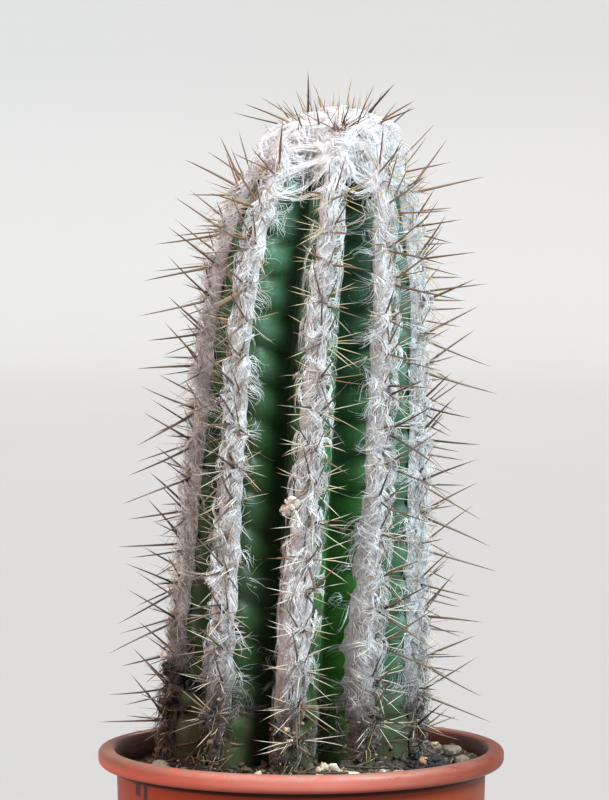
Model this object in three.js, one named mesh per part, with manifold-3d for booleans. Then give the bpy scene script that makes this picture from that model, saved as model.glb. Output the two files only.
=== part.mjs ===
// A young woolly torch cactus in a round plastic nursery pot.
// Millimetres, +Z up. The origin is the centre of the pot's flat base, and the plant's front looks along -Y.
//
// The plant is one ribbed green stem. Each rib's crest carries a line of areoles, which are small pads that
// grow white wool and a cluster of spines. The wool of one rib hangs together as a shaggy band, so each band is
// one piece with its spines rooted in it. The stem stands in a hole in the soil, and the soil fills the pot.

import * as THREE from 'three';
import { mergeVertices } from 'three/addons/utils/BufferGeometryUtils.js';
import Module from 'manifold-3d';

const wasm = await Module();
wasm.setup();

// Driving dimensions of the pot: a standard 12 cm nursery pot.
const RIM_RADIUS = 60;
const POT_HEIGHT = 105;
const RIM_HEIGHT = 5.3;
const RIM_WIDTH = 4.9;
const RIM_TOP_ROUND = 1.7;
const RIM_FOOT_ROUND = 2.3;
const COLLAR_RADIUS = 54.6;
const COLLAR_FOOT_HEIGHT = 86;
const COLLAR_FOOT_RADIUS = 54.2;
const BASE_RADIUS = 41.5;
const BASE_ROUND = 1.5;
const POT_WALL = 1.4;
const POT_FLOOR = 1.8;
const POT_SIDES = 36;
const DRAIN_HOLES = 8;
const DRAIN_RADIUS = 4;
const DRAIN_CIRCLE_RADIUS = 29;

// Driving dimensions of the plant. Its heights are counted from the top of the rim.
const RIBS = 9;
const STEM_FOOT = -30;
const STEM_TOP = 185.5;
const STEM_FOOT_RADIUS = 24;
const STEM_FOOT_ROUNDNESS = 1.6;
const BURIED_ROW = -12;
const DOME_ROWS = [178.5, 182, 184.6];
const STEM_RADIUS = 35.4;
const STEM_TAPER = 0.05;
const SHOULDER_HEIGHT = 125;
const SHOULDER_ROUNDNESS = 0.4;
const VALLEY_SHARE = 0.6;
const RIB_SHARPNESS = 2.2;
const RIB_FADE_LENGTH = 14;
const COLUMNS_PER_RIB = 6;
const AREOLE_PITCH = 10.5;
const FIRST_AREOLE = 7;
const BAND_FOOT = 0.4;
const BAND_TOP = 174;

// Where each rib's crest stands round the stem, in degrees from the front and positive to the right.
const CREST_TURN_AT_FOOT = [-82, -36.5, 0, 37, 76, 117, 157, 197, 238];
const CREST_TURN_AT_TOP = [-80, -42, 6.5, 45, 82, 121, 161, 201, 240];

// The stem leans a little to the right, and its crown bends further over.
const LEAN_AT_RIM = -2.6;
const LEAN_SLOPE = 0.05;
const CROWN_BEND_START = 140;
const CROWN_BEND_LENGTH = 48;
const CROWN_BEND = 4;

// Wool: half the width of a band, and how far it stands off the crest at a tuft, between two and at its edges.
const WOOL_HALF_WIDTH = 5.3;
const WOOL_WIDEST_SHARE = 0.62;
const TUFT_DEPTH = 3.9;
const TUFT_GAP_DEPTH = 2.6;
const BAND_EDGE_DEPTH = 1.7;
const CLEARANCE = 0.3;

// Spines of an areole: two long ones that stand out, and short ones that spread sideways over the valleys.
// Rise is upward from straight out, at the foot and at the crown, and side is to the right, both in degrees.
// The last two stand in turn, each on every second areole.
const LONG_SPINES = [
  { length: 17.5, rise: -18, riseAtTop: 6, side: 0, sideSpread: 24 },
  { length: 13, rise: 36, riseAtTop: 38, side: 0, sideSpread: 34 },
];
const SHORT_SPINES = [
  { length: 9.5, rise: 12, side: -70 },
  { length: 9.5, rise: 14, side: 70 },
  { length: 9, rise: -24, side: -74, turn: 1 },
  { length: 9, rise: -26, side: 74, turn: 0 },
];
const RISE_SHARPNESS = 6;
const LONG_SPREAD = { length: 0.2, rise: 16 };
const SHORT_SPREAD = { length: 0.15, rise: 10, side: 8 };
const SPINE_RADIUS = 0.5;
const SPINE_SIDES = 3;
const SPINE_SINK = 1.6;
const SPINE_ROOT_DEPTH = 1.8;
const LOWEST_SPINE_TIP = 3;
const WEDGE_SHARE = 0.92;
const TURN_OUT_SHARE = 0.85;
const TURN_UP_STEP = 0.12;
const MOST_TURNS = 12;

// Crown: the youngest areoles, whose wool closes over the top of the stem. Two of its spines stand well above it.
// Its outline runs from the edge up to the top as [outward from the edge, above the edge].
const CROWN_EDGE = 175.4;
const CROWN_OUTLINE = [[2.8, 0.6], [1.8, 4], [-1.2, 7.6], [-5, 10.6], [-9.5, 12.5], [-13, 13.7]];
const CROWN_WOOL = 2.6;
const CROWN_TUFT = 0.9;
const CROWN_SPINES = 30;
const CROWN_SPINE_LENGTH = 8;
const CROWN_SPINE_LENGTH_SPREAD = 0.35;
const CROWN_SPINE_TILT = 8;
const CROWN_SPINE_TILT_AT_EDGE = 50;
const CROWN_SPINE_TILT_SPREAD = 12;
const CROWN_ROOT_DEPTH = 0.3;
const CROWN_ROOT_DROP = 7;
const TALL_SPINES = [
  { root: [2, -4, 187], tip: [2, -5, 199.6] },
  { root: [18.8, -3, 185.8], tip: [27.5, -5, 195.8] },
];
const GOLDEN_ANGLE = Math.PI * (3 - Math.sqrt(5));

// Soil: how far its surface lies below the rim at the stem and at the wall, and how it is heaped to the right.
const SOIL_AT_STEM = -2.2;
const SOIL_AT_WALL = -6.5;
const SOIL_HEAP = 2.4;
const SOIL_WAVE = 0.6;
const SOIL_RIPPLE = 0.4;
const SOIL_SIDES = 36;
const SOIL_RING_RADIUS = 45;
const SOIL_WALL_GAP = 0.5;
const STEM_HOLE_GAP = 0.8;
const PEBBLES = 22;
const PEBBLE_RADIUS = 2.3;
const PEBBLE_RADIUS_SPREAD = 0.3;
const PEBBLE_FLATNESS = 0.75;
const PEBBLE_TOP = 1.6;
const PEBBLE_RING_RADIUS = 46.2;
const PEBBLE_RING_SPREAD = 3.3;

const POT_COLOUR = '#c8573a';
const SOIL_COLOUR = '#2e241c';
const STEM_COLOUR = '#3f6f55';
const WOOL_COLOUR = '#d8d4d2';
const POT_ROUGHNESS = 0.55;
const SOIL_ROUGHNESS = 0.95;
const STEM_ROUGHNESS = 0.5;
const WOOL_ROUGHNESS = 0.95;

// A repeatable number from 0 to 1 for each place and use.
function draw(rib, areole, spine, use) {
  const modulus = 2147483647;
  let state = (rib * 7919 + areole * 104729 + spine * 1299709 + use * 15485863 + 12345) % modulus;
  for (let turn = 0; turn < 3; turn += 1) {
    state = (state * 16807) % modulus;
  }
  return state / modulus;
}

// The same number spread evenly from -amount to +amount.
function spread(rib, areole, spine, use, amount) {
  return (2 * draw(rib, areole, spine, use) - 1) * amount;
}

// A closed solid from a geometry: positions alone, with shared vertices merged and empty triangles left out.
function solid(geometry) {
  const plain = geometry.clone();
  plain.deleteAttribute('normal');
  plain.deleteAttribute('uv');
  const merged = mergeVertices(plain, 1e-3);
  const index = merged.index.array;
  const triangles = [];
  for (let i = 0; i < index.length; i += 3) {
    const [a, b, c] = [index[i], index[i + 1], index[i + 2]];
    if (a !== b && b !== c && c !== a) {
      triangles.push(a, b, c);
    }
  }
  const vertProperties = new Float32Array(merged.attributes.position.array);
  const triVerts = new Uint32Array(triangles);
  return new wasm.Manifold(new wasm.Mesh({ numProp: 3, vertProperties, triVerts }));
}

// A named mesh from a solid.
function piece(name, shape, colour, roughness) {
  const { vertProperties, triVerts } = shape.getMesh();
  const geometry = new THREE.BufferGeometry();
  geometry.setAttribute('position', new THREE.BufferAttribute(new Float32Array(vertProperties), 3));
  geometry.setIndex(new THREE.BufferAttribute(new Uint32Array(triVerts), 1));
  geometry.computeVertexNormals();
  const material = new THREE.MeshStandardMaterial({ color: colour, roughness, metalness: 0, flatShading: true });
  const mesh = new THREE.Mesh(geometry, material);
  mesh.name = name;
  return mesh;
}

// Moves every vertex of a geometry to where place(vertex) puts it.
function reshape(geometry, place) {
  const position = geometry.attributes.position;
  const vertex = new THREE.Vector3();
  for (let i = 0; i < position.count; i += 1) {
    vertex.fromBufferAttribute(position, i);
    place(vertex);
    position.setXYZ(i, vertex.x, vertex.y, vertex.z);
  }
  return geometry;
}

// A turned shape round +Z from a profile of [radius, height] points.
function turned(profile, sides) {
  const points = profile.map(([radius, height]) => new THREE.Vector2(radius, height));
  return new THREE.LatheGeometry(points, sides).rotateX(Math.PI / 2);
}

// Points on a quarter round, from one angle to another, in degrees.
function rounded(centreRadius, centreHeight, round, from, to, steps) {
  const points = [];
  for (let i = 0; i <= steps; i += 1) {
    const angle = THREE.MathUtils.degToRad(from + ((to - from) * i) / steps);
    points.push([centreRadius + round * Math.cos(angle), centreHeight + round * Math.sin(angle)]);
  }
  return points;
}

// Pot: a thin tapered shell with a straight collar, a rolled rim and drain holes in its floor.
function makePot() {
  const rimFoot = POT_HEIGHT - RIM_HEIGHT;
  const profile = [
    [0, 0],
    ...rounded(BASE_RADIUS - BASE_ROUND, BASE_ROUND, BASE_ROUND, -90, 0, 1),
    [COLLAR_FOOT_RADIUS, COLLAR_FOOT_HEIGHT],
    [COLLAR_RADIUS, rimFoot + 0.6],
    ...rounded(RIM_RADIUS - RIM_FOOT_ROUND, rimFoot + RIM_FOOT_ROUND, RIM_FOOT_ROUND, -80, 0, 2),
    ...rounded(RIM_RADIUS - RIM_TOP_ROUND, POT_HEIGHT - RIM_TOP_ROUND, RIM_TOP_ROUND, 0, 90, 2),
    [RIM_RADIUS - RIM_WIDTH, POT_HEIGHT - 0.4],
    [COLLAR_RADIUS - POT_WALL, rimFoot - 1],
    [COLLAR_FOOT_RADIUS - POT_WALL, COLLAR_FOOT_HEIGHT],
    [BASE_RADIUS - POT_WALL, POT_FLOOR],
    [0, POT_FLOOR],
  ];
  let pot = solid(turned(profile, POT_SIDES));
  for (let i = 0; i < DRAIN_HOLES; i += 1) {
    const angle = ((i + 0.5) / DRAIN_HOLES) * 2 * Math.PI;
    const hole = new THREE.CylinderGeometry(DRAIN_RADIUS, DRAIN_RADIUS, 4 * POT_FLOOR, 8).rotateX(Math.PI / 2);
    hole.translate(DRAIN_CIRCLE_RADIUS * Math.cos(angle), DRAIN_CIRCLE_RADIUS * Math.sin(angle), 0);
    pot = pot.subtract(solid(hole));
  }
  return piece('pot', pot, POT_COLOUR, POT_ROUGHNESS);
}

// Radius of the stem over the crests at a height above the rim.
function crestRadius(height) {
  if (height < 0) {
    const depth = height / STEM_FOOT;
    return THREE.MathUtils.lerp(STEM_RADIUS, STEM_FOOT_RADIUS, depth ** STEM_FOOT_ROUNDNESS);
  }
  const column = STEM_RADIUS - STEM_TAPER * height;
  const climb = THREE.MathUtils.clamp((height - SHOULDER_HEIGHT) / (STEM_TOP - SHOULDER_HEIGHT), 0, 1);
  return column * (1 - climb ** 2) ** SHOULDER_ROUNDNESS;
}

// Sideways place of the stem's middle at a height above the rim.
function lean(height) {
  const bend = Math.max(0, (height - CROWN_BEND_START) / CROWN_BEND_LENGTH);
  return LEAN_AT_RIM + LEAN_SLOPE * height + CROWN_BEND * bend ** 2;
}

// Direction of a rib's crest round the stem, in radians. Ribs past the last one start again a full turn on.
function crestTurn(rib, height) {
  const lap = Math.floor(rib / RIBS);
  const own = rib - lap * RIBS;
  const share = THREE.MathUtils.clamp(height / STEM_TOP, 0, 1);
  const degrees = THREE.MathUtils.lerp(CREST_TURN_AT_FOOT[own], CREST_TURN_AT_TOP[own], share);
  return THREE.MathUtils.degToRad(degrees + 360 * lap);
}

// Half the angle from a rib's crest to its neighbour on one hand.
function halfSpacing(rib, hand, height) {
  return Math.abs(crestTurn(rib + hand, height) - crestTurn(rib, height)) / 2;
}

// Share of the way from crest to valley at which the wool band ends.
function shoulderShare(rib, hand, height) {
  const valleyDistance = crestRadius(height) * halfSpacing(rib, hand, height);
  return Math.min(WOOL_WIDEST_SHARE, WOOL_HALF_WIDTH / valleyDistance);
}

// Radius of the stem at a share of the way from crest (0) to valley (1). The ribs fade out at the crown.
function ribRadius(share, height) {
  const fade = THREE.MathUtils.clamp((STEM_TOP - height) / RIB_FADE_LENGTH, 0, 1);
  const depth = (1 - VALLEY_SHARE) * fade;
  return crestRadius(height) * (1 - depth * ((1 - Math.cos(Math.PI * share)) / 2) ** RIB_SHARPNESS);
}

// The point at a distance from the stem's middle in one direction, at a height above the rim.
function around(turn, distance, height) {
  const x = lean(height) + distance * Math.sin(turn);
  return new THREE.Vector3(x, -distance * Math.cos(turn), POT_HEIGHT + height);
}

// A point on one hand of a rib, at a share of the way to the valley, and an offset out from the skin.
function plantPoint(rib, hand, share, height, offset) {
  const turn = crestTurn(rib, height) + hand * share * halfSpacing(rib, hand, height);
  return around(turn, ribRadius(share, height) + offset, height);
}

// Heights up a crest, one every given length along it, from a first height up to a last one.
function climbCrest(first, last, step) {
  const heights = [first];
  const stride = 0.05;
  let walked = 0;
  for (let height = first; height < last; height += stride) {
    walked += Math.hypot(stride, crestRadius(height + stride) - crestRadius(height));
    if (walked >= step) {
      heights.push(height + stride);
      walked = 0;
    }
  }
  return heights;
}

// Stem: a turned column whose vertices are moved in to make the valleys between ribs. A gap makes it larger.
function stemShape(gap) {
  const foot = STEM_FOOT - (gap > 0 ? CLEARANCE : 0);
  const climb = climbCrest(BAND_FOOT, BAND_TOP, AREOLE_PITCH);
  const heights = [foot, BURIED_ROW, ...climb, ...DOME_ROWS];
  const profile = [[0, foot], ...heights.map((height) => [1, height]), [0, STEM_TOP]];
  const columns = RIBS * COLUMNS_PER_RIB;
  const geometry = turned(profile, columns);
  reshape(geometry, (vertex) => {
    const height = vertex.z;
    const onAxis = vertex.x === 0 && vertex.y === 0;
    if (onAxis) {
      vertex.set(lean(height), 0, POT_HEIGHT + height);
      return;
    }
    const column = Math.round((Math.atan2(vertex.x, -vertex.y) / (2 * Math.PI)) * columns);
    const rib = Math.round(column / COLUMNS_PER_RIB);
    const step = column - rib * COLUMNS_PER_RIB;
    const hand = Math.sign(step) || 1;
    const shoulder = shoulderShare(rib, hand, height);
    const share = [0, shoulder, (1 + shoulder) / 2, 1][Math.abs(step)];
    vertex.copy(plantPoint(rib, hand, share, height, gap));
  });
  return solid(geometry);
}

// One spine: a three-sided needle from a root inside the wool to its tip.
function spine(root, tip) {
  const along = new THREE.Vector3().subVectors(tip, root);
  const length = along.length();
  along.normalize();
  const geometry = new THREE.ConeGeometry(SPINE_RADIUS, length + SPINE_SINK, SPINE_SIDES);
  geometry.translate(0, (length - SPINE_SINK) / 2, 0);
  geometry.applyQuaternion(new THREE.Quaternion().setFromUnitVectors(new THREE.Vector3(0, 1, 0), along));
  geometry.translate(root.x, root.y, root.z);
  return solid(geometry);
}

// Tip of a spine. It is turned outward until it stays in its rib's wedge, and up until it clears soil and rim.
function spineTip(rib, root, axes, length, riseDegrees, sideDegrees) {
  let rise = THREE.MathUtils.degToRad(riseDegrees);
  let side = THREE.MathUtils.degToRad(sideDegrees);
  const tip = new THREE.Vector3();
  for (let turns = 0; turns < MOST_TURNS; turns += 1) {
    const level = length * Math.cos(rise);
    tip.copy(root);
    tip.addScaledVector(axes.outward, level * Math.cos(side));
    tip.addScaledVector(axes.sideways, level * Math.sin(side));
    tip.addScaledVector(axes.up, length * Math.sin(rise));
    const height = tip.z - POT_HEIGHT;
    const turn = Math.atan2(tip.x - lean(height), -tip.y) - crestTurn(rib, height);
    const off = Math.atan2(Math.sin(turn), Math.cos(turn));
    const inWedge = Math.abs(off) < WEDGE_SHARE * halfSpacing(rib, Math.sign(off) || 1, height);
    const clear = height > LOWEST_SPINE_TIP;
    if (inWedge && clear) {
      break;
    }
    side *= inWedge ? 1 : TURN_OUT_SHARE;
    rise += clear ? 0 : TURN_UP_STEP;
  }
  return tip;
}

// Outward, sideways and upward directions at a rib's crest.
function crestAxes(rib, height) {
  const turn = crestTurn(rib, height);
  const slope = (crestRadius(height + 1) - crestRadius(height - 1)) / 2;
  const outward = new THREE.Vector3(Math.sin(turn), -Math.cos(turn), -slope).normalize();
  const sideways = new THREE.Vector3(Math.cos(turn), Math.sin(turn), 0);
  const up = new THREE.Vector3().crossVectors(outward, sideways);
  return { outward, sideways, up };
}

// The spines of one areole.
function areoleSpines(rib, areole, height) {
  const axes = crestAxes(rib, height);
  const root = plantPoint(rib, 1, 0, height, CLEARANCE + SPINE_ROOT_DEPTH);
  const climb = Math.min(1, height / BAND_TOP) ** RISE_SHARPNESS;
  const long = LONG_SPINES.map((kind, i) => {
    const length = kind.length * (1 + spread(rib, areole, i, 1, LONG_SPREAD.length));
    const level = THREE.MathUtils.lerp(kind.rise, kind.riseAtTop, climb);
    const rise = level + spread(rib, areole, i, 2, LONG_SPREAD.rise);
    const side = kind.side + spread(rib, areole, i, 3, kind.sideSpread);
    return spine(root, spineTip(rib, root, axes, length, rise, side));
  });
  const short = SHORT_SPINES.filter((kind) => kind.turn !== areole % 2).map((kind, i) => {
    const length = kind.length * (1 + spread(rib, areole, i + 2, 1, SHORT_SPREAD.length));
    const rise = kind.rise + spread(rib, areole, i + 2, 2, SHORT_SPREAD.rise);
    const side = kind.side + spread(rib, areole, i + 2, 3, SHORT_SPREAD.side);
    return spine(root, spineTip(rib, root, axes, length, rise, side));
  });
  return [...long, ...short];
}

// Heights of a rib's areoles. Neighbouring ribs are half a pitch apart.
function areoleHeights(rib) {
  const first = FIRST_AREOLE + (rib % 2 ? AREOLE_PITCH / 2 : 0);
  return climbCrest(first, BAND_TOP - 2, AREOLE_PITCH);
}

// Wool band of one rib: a strap bent over the crest, thick at each tuft, with that rib's spines rooted in it.
function makeFleece(rib) {
  const rows = climbCrest(BAND_FOOT, BAND_TOP, AREOLE_PITCH / 2);
  const strap = new THREE.BoxGeometry(2, rows.length - 1, 1, 2, rows.length - 1, 1);
  const tuftRow = rib % 2 ? 0 : 1;
  reshape(strap, (vertex) => {
    const row = Math.round(vertex.y + (rows.length - 1) / 2);
    const height = rows[row];
    const hand = Math.sign(vertex.x) || 1;
    const edge = Math.abs(vertex.x);
    const middleDepth = row % 2 === tuftRow ? TUFT_DEPTH : TUFT_GAP_DEPTH;
    const depth = vertex.z > 0 ? THREE.MathUtils.lerp(middleDepth, BAND_EDGE_DEPTH, edge) : 0;
    const share = edge * shoulderShare(rib, hand, height);
    vertex.copy(plantPoint(rib, hand, share, height, CLEARANCE + depth));
  });
  let fleece = solid(strap);
  for (const [areole, height] of areoleHeights(rib).entries()) {
    for (const needle of areoleSpines(rib, areole, height)) {
      fleece = fleece.add(needle);
    }
  }
  return piece(`fleece_rib_${rib + 1}`, fleece, WOOL_COLOUR, WOOL_ROUGHNESS);
}

// Crown: a cap of wool over the top of the stem, tufted in line with the ribs, with young spines standing up.
function makeCrown() {
  const sides = 4 * RIBS;
  const flatReach = 1 / Math.cos(Math.PI / sides);
  const inside = (height) => (crestRadius(height) + CLEARANCE) * flatReach;
  const edge = inside(CROWN_EDGE);
  const underside = DOME_ROWS.map((height) => [inside(height), height + 2 * CLEARANCE]).reverse();
  const profile = [
    [0, STEM_TOP + CLEARANCE],
    ...underside,
    [edge, CROWN_EDGE + 2 * CLEARANCE],
    ...CROWN_OUTLINE.map(([out, above]) => [edge + out, CROWN_EDGE + above]),
    [0, STEM_TOP + CROWN_WOOL],
  ];
  const tuftHeights = new Set(CROWN_OUTLINE.map(([, above]) => (CROWN_EDGE + above).toFixed(2)));
  const cap = turned(profile, sides);
  reshape(cap, (vertex) => {
    const turn = Math.atan2(vertex.x, -vertex.y);
    const swell = tuftHeights.has(vertex.z.toFixed(2)) ? CROWN_TUFT * Math.cos(RIBS * turn) : 0;
    vertex.x += lean(vertex.z) + swell * Math.sin(turn);
    vertex.y -= swell * Math.cos(turn);
    vertex.z += POT_HEIGHT;
  });
  const place = ([x, y, height]) => new THREE.Vector3(x, y, POT_HEIGHT + height);
  let crown = solid(cap);
  for (const tall of TALL_SPINES) {
    crown = crown.add(spine(place(tall.root), place(tall.tip)));
  }
  for (let i = 0; i < CROWN_SPINES; i += 1) {
    const share = Math.sqrt((i + 0.5) / CROWN_SPINES);
    const turn = i * GOLDEN_ANGLE;
    const radius = share * (edge - 1);
    const height = STEM_TOP + CROWN_WOOL - CROWN_ROOT_DEPTH - CROWN_ROOT_DROP * share ** 3;
    const root = around(turn, radius, height);
    const level = THREE.MathUtils.lerp(CROWN_SPINE_TILT, CROWN_SPINE_TILT_AT_EDGE, share);
    const tilt = THREE.MathUtils.degToRad(level + spread(RIBS, i, 0, 2, CROWN_SPINE_TILT_SPREAD));
    const length = CROWN_SPINE_LENGTH * (1 + spread(RIBS, i, 0, 1, CROWN_SPINE_LENGTH_SPREAD));
    const aim = new THREE.Vector3(Math.sin(turn), -Math.cos(turn), 0).multiplyScalar(Math.sin(tilt));
    aim.z = Math.cos(tilt);
    crown = crown.add(spine(root, root.clone().addScaledVector(aim, length)));
  }
  return piece('crown_fleece', crown, WOOL_COLOUR, WOOL_ROUGHNESS);
}

// Height of the soil's surface above the rim.
function soilHeight(x, y) {
  const radius = Math.hypot(x, y);
  const out = THREE.MathUtils.clamp((radius - STEM_RADIUS) / (COLLAR_RADIUS - STEM_RADIUS), 0, 1);
  const turn = Math.atan2(x, -y);
  const heap = SOIL_HEAP * out * Math.sin(turn);
  const waves = SOIL_WAVE * Math.sin(5 * turn + 1) + SOIL_RIPPLE * Math.sin(0.4 * x + 0.7 * y);
  return THREE.MathUtils.lerp(SOIL_AT_STEM, SOIL_AT_WALL, out) + heap + waves;
}

// Soil: the pot's filling, with a heaped surface, stones half sunk in it and a hole that the stem stands in.
function makeSoil() {
  const top = POT_HEIGHT + SOIL_AT_WALL;
  const inset = POT_WALL + SOIL_WALL_GAP;
  const profile = [
    [0, POT_FLOOR + CLEARANCE],
    [BASE_RADIUS - inset, POT_FLOOR + CLEARANCE],
    [COLLAR_FOOT_RADIUS - inset, COLLAR_FOOT_HEIGHT],
    [COLLAR_RADIUS - inset, top],
    [SOIL_RING_RADIUS, top],
    [0, top],
  ];
  const filling = turned(profile, SOIL_SIDES);
  reshape(filling, (vertex) => {
    if (vertex.z > COLLAR_FOOT_HEIGHT + 1) {
      vertex.z = POT_HEIGHT + soilHeight(vertex.x, vertex.y);
    }
  });
  let soil = solid(filling);
  for (let i = 0; i < PEBBLES; i += 1) {
    const turn = i * GOLDEN_ANGLE;
    const radius = PEBBLE_RING_RADIUS + spread(i, 0, 0, 4, PEBBLE_RING_SPREAD);
    const size = PEBBLE_RADIUS * (1 + spread(i, 0, 0, 5, PEBBLE_RADIUS_SPREAD));
    const x = radius * Math.sin(turn);
    const y = -radius * Math.cos(turn);
    const halfHeight = PEBBLE_FLATNESS * size;
    const height = Math.min(soilHeight(x, y) + halfHeight / 4, PEBBLE_TOP - halfHeight);
    const stone = new THREE.IcosahedronGeometry(size, 0);
    stone.scale(1, 1, PEBBLE_FLATNESS).rotateZ(turn).translate(x, y, POT_HEIGHT + height);
    soil = soil.add(solid(stone));
  }
  return piece('soil', soil.subtract(stemShape(STEM_HOLE_GAP)), SOIL_COLOUR, SOIL_ROUGHNESS);
}

const group = new THREE.Group();
group.add(makePot());
group.add(makeSoil());
group.add(piece('stem', stemShape(0), STEM_COLOUR, STEM_ROUGHNESS));
for (let rib = 0; rib < RIBS; rib += 1) {
  group.add(makeFleece(rib));
}
group.add(makeCrown());

export default group;
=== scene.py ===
from math import atan2, cos, pi, radians, sin

import bmesh
import bpy
import numpy as np
from mathutils import Matrix


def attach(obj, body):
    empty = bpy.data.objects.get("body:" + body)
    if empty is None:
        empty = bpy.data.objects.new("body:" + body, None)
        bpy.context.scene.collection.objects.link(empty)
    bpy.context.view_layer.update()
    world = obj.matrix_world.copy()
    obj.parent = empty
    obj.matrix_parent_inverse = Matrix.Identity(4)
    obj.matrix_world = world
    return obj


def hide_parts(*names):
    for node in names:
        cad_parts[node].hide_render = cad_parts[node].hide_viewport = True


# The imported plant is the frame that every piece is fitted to. Its box is kept beside the finished plant's.
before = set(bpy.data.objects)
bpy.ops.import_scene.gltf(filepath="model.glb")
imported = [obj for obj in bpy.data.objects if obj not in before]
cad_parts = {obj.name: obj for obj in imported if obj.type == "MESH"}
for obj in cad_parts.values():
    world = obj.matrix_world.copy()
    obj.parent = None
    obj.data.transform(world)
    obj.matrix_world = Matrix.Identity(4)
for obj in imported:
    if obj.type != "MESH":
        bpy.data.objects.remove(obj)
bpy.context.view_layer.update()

# Pot: one thin shell of terracotta-coloured plastic, moulded with a nearly straight collar, a rolled rim and
# eight drain holes in its floor. Pale dust has dried on the rim, and the wall has a few rubbed marks.
RIM_RADIUS = 0.060
POT_HEIGHT = 0.105
RIM_HEIGHT = 0.0053
RIM_WIDTH = 0.0049
RIM_TOP_ROUND = 0.0017
RIM_FOOT_ROUND = 0.0023
RIM_INNER_ROUND = 0.0012
RIM_INNER_DROP = 0.001
COLLAR_RADIUS = 0.0546
COLLAR_TUCK = 0.0006
COLLAR_FOOT_HEIGHT = 0.086
COLLAR_FOOT_RADIUS = 0.0542
BASE_RADIUS = 0.0415
BASE_ROUND = 0.0015
POT_WALL = 0.0014
POT_FLOOR = 0.0018
POT_SIDES = 180
DRAIN_HOLES = 8
DRAIN_RADIUS = 0.004
DRAIN_CIRCLE_RADIUS = 0.029
DRILL_SIDES = 32
SHARP_ANGLE = radians(38)
WALL_COLOURS = ((0.3, (0.27, 0.030, 0.007)), (0.7, (0.34, 0.040, 0.009)))
# Painted shade: the wall is darker on its right side.
PAINTED_SHADE_ON_RIGHT_WALL = (0.16, 0.028, 0.008)
# Paler rim: partly faded plastic, partly a painted highlight.
FADED_RIM_AND_HIGHLIGHT = (0.49, 0.130, 0.096)
# Painted light: the rim is a brighter red on its left side.
PAINTED_LIGHT_ON_LEFT_RIM = (0.56, 0.080, 0.036)
# Painted shade: the rim is darker on its right side.
PAINTED_SHADE_ON_RIGHT_RIM = (0.150, 0.020, 0.005)
# Painted shadow: a dark line on the wall just under the rim's overhang.
PAINTED_SHADOW_UNDER_RIM = (0.024, 0.001, 0.0004)
# Inside the collar and rim: partly soil stains, partly painted shade.
SOIL_STAIN_AND_SHADE = (0.055, 0.017, 0.010)
SCUFF = (0.03, 0.012, 0.01)
DUST = (0.36, 0.25, 0.20)
MOST_DUST = 0.55
SOILED_EDGE = (0.17, 0.095, 0.062)
# Place across the front, half width, drop below the rim's top and half height of each rubbed mark.
SCUFFS = ((-0.0472, 0.0005, 0.0085, 0.0016), (-0.0450, 0.0003, 0.0092, 0.0018))
SCUFF_BLUR_ACROSS = 0.0005
SCUFF_BLUR_UPRIGHT = 0.001
# Where each change of finish starts and where it is full, as a place, a height or a radius.
RIM_FACE = (POT_HEIGHT - 1.05 * RIM_HEIGHT, POT_HEIGHT - 0.75 * RIM_HEIGHT)
RIM_LEFT = (-0.012, -0.046)
RIM_RIGHT = (0.010, 0.055)
RIM_INSIDE = (RIM_RADIUS - RIM_WIDTH + 0.0006, RIM_RADIUS - RIM_WIDTH + 0.0002)
COLLAR_INSIDE = (COLLAR_RADIUS - 0.0005, COLLAR_RADIUS - 0.0010)
COLLAR_START = (COLLAR_FOOT_HEIGHT, COLLAR_FOOT_HEIGHT + 0.001)
FRONT_WALL = (-0.010, -0.012)
DUSTY_BREADTH = (0.062, 0.018)
DUSTY_EDGE = (POT_HEIGHT - 0.0022, POT_HEIGHT + 0.0004)
SOILED_LEFT = (-0.022, -0.050)
SOILED_HEIGHTS = (POT_HEIGHT - 0.0030, POT_HEIGHT - 0.0008)
# Middle, half height and blur of the rim's inner face and of the painted shadow line under the rim.
INNER_FACE_HEIGHTS = (POT_HEIGHT - 0.0035, 0.0017, 0.0009)
PAINTED_SHADOW_UNDER_RIM_HEIGHTS = (POT_HEIGHT - RIM_HEIGHT - 0.0008, 0.0005, 0.0007)


def ring_points(turn, distance, height, middle=0.0):
    """Points at a distance from an upright axis, at a turn from the front that is positive to the right."""
    turn, distance, height, middle = np.broadcast_arrays(turn, distance, height, middle)
    return np.stack([middle + distance * np.sin(turn), -distance * np.cos(turn), height], axis=-1)


def quarter(radius_at, height_at, round_radius, start, end, steps=6):
    """Profile points on part of a small circle, from one angle to another in degrees."""
    angle = np.radians(np.linspace(start, end, steps + 1))
    return np.array([radius_at, height_at]) + round_radius * np.stack([np.cos(angle), np.sin(angle)], axis=1)


def skin_over(rings, first, last):
    """Points and faces of a closed skin from a first point, over rings of points, to a last point."""
    count, sides = rings.shape[:2]
    points = np.concatenate([[first], rings.reshape(-1, 3), [last]])
    corner = 1 + np.arange(count * sides).reshape(count, sides)
    after = np.roll(corner, -1, axis=1)
    quads = np.stack([corner[:-1], after[:-1], after[1:], corner[1:]], axis=-1).reshape(-1, 4)
    first_fan = np.stack([np.zeros(sides, int), after[0], corner[0]], axis=1)
    last_fan = np.stack([np.full(sides, len(points) - 1), corner[-1], after[-1]], axis=1)
    return points, [quads, first_fan, last_fan]


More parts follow.
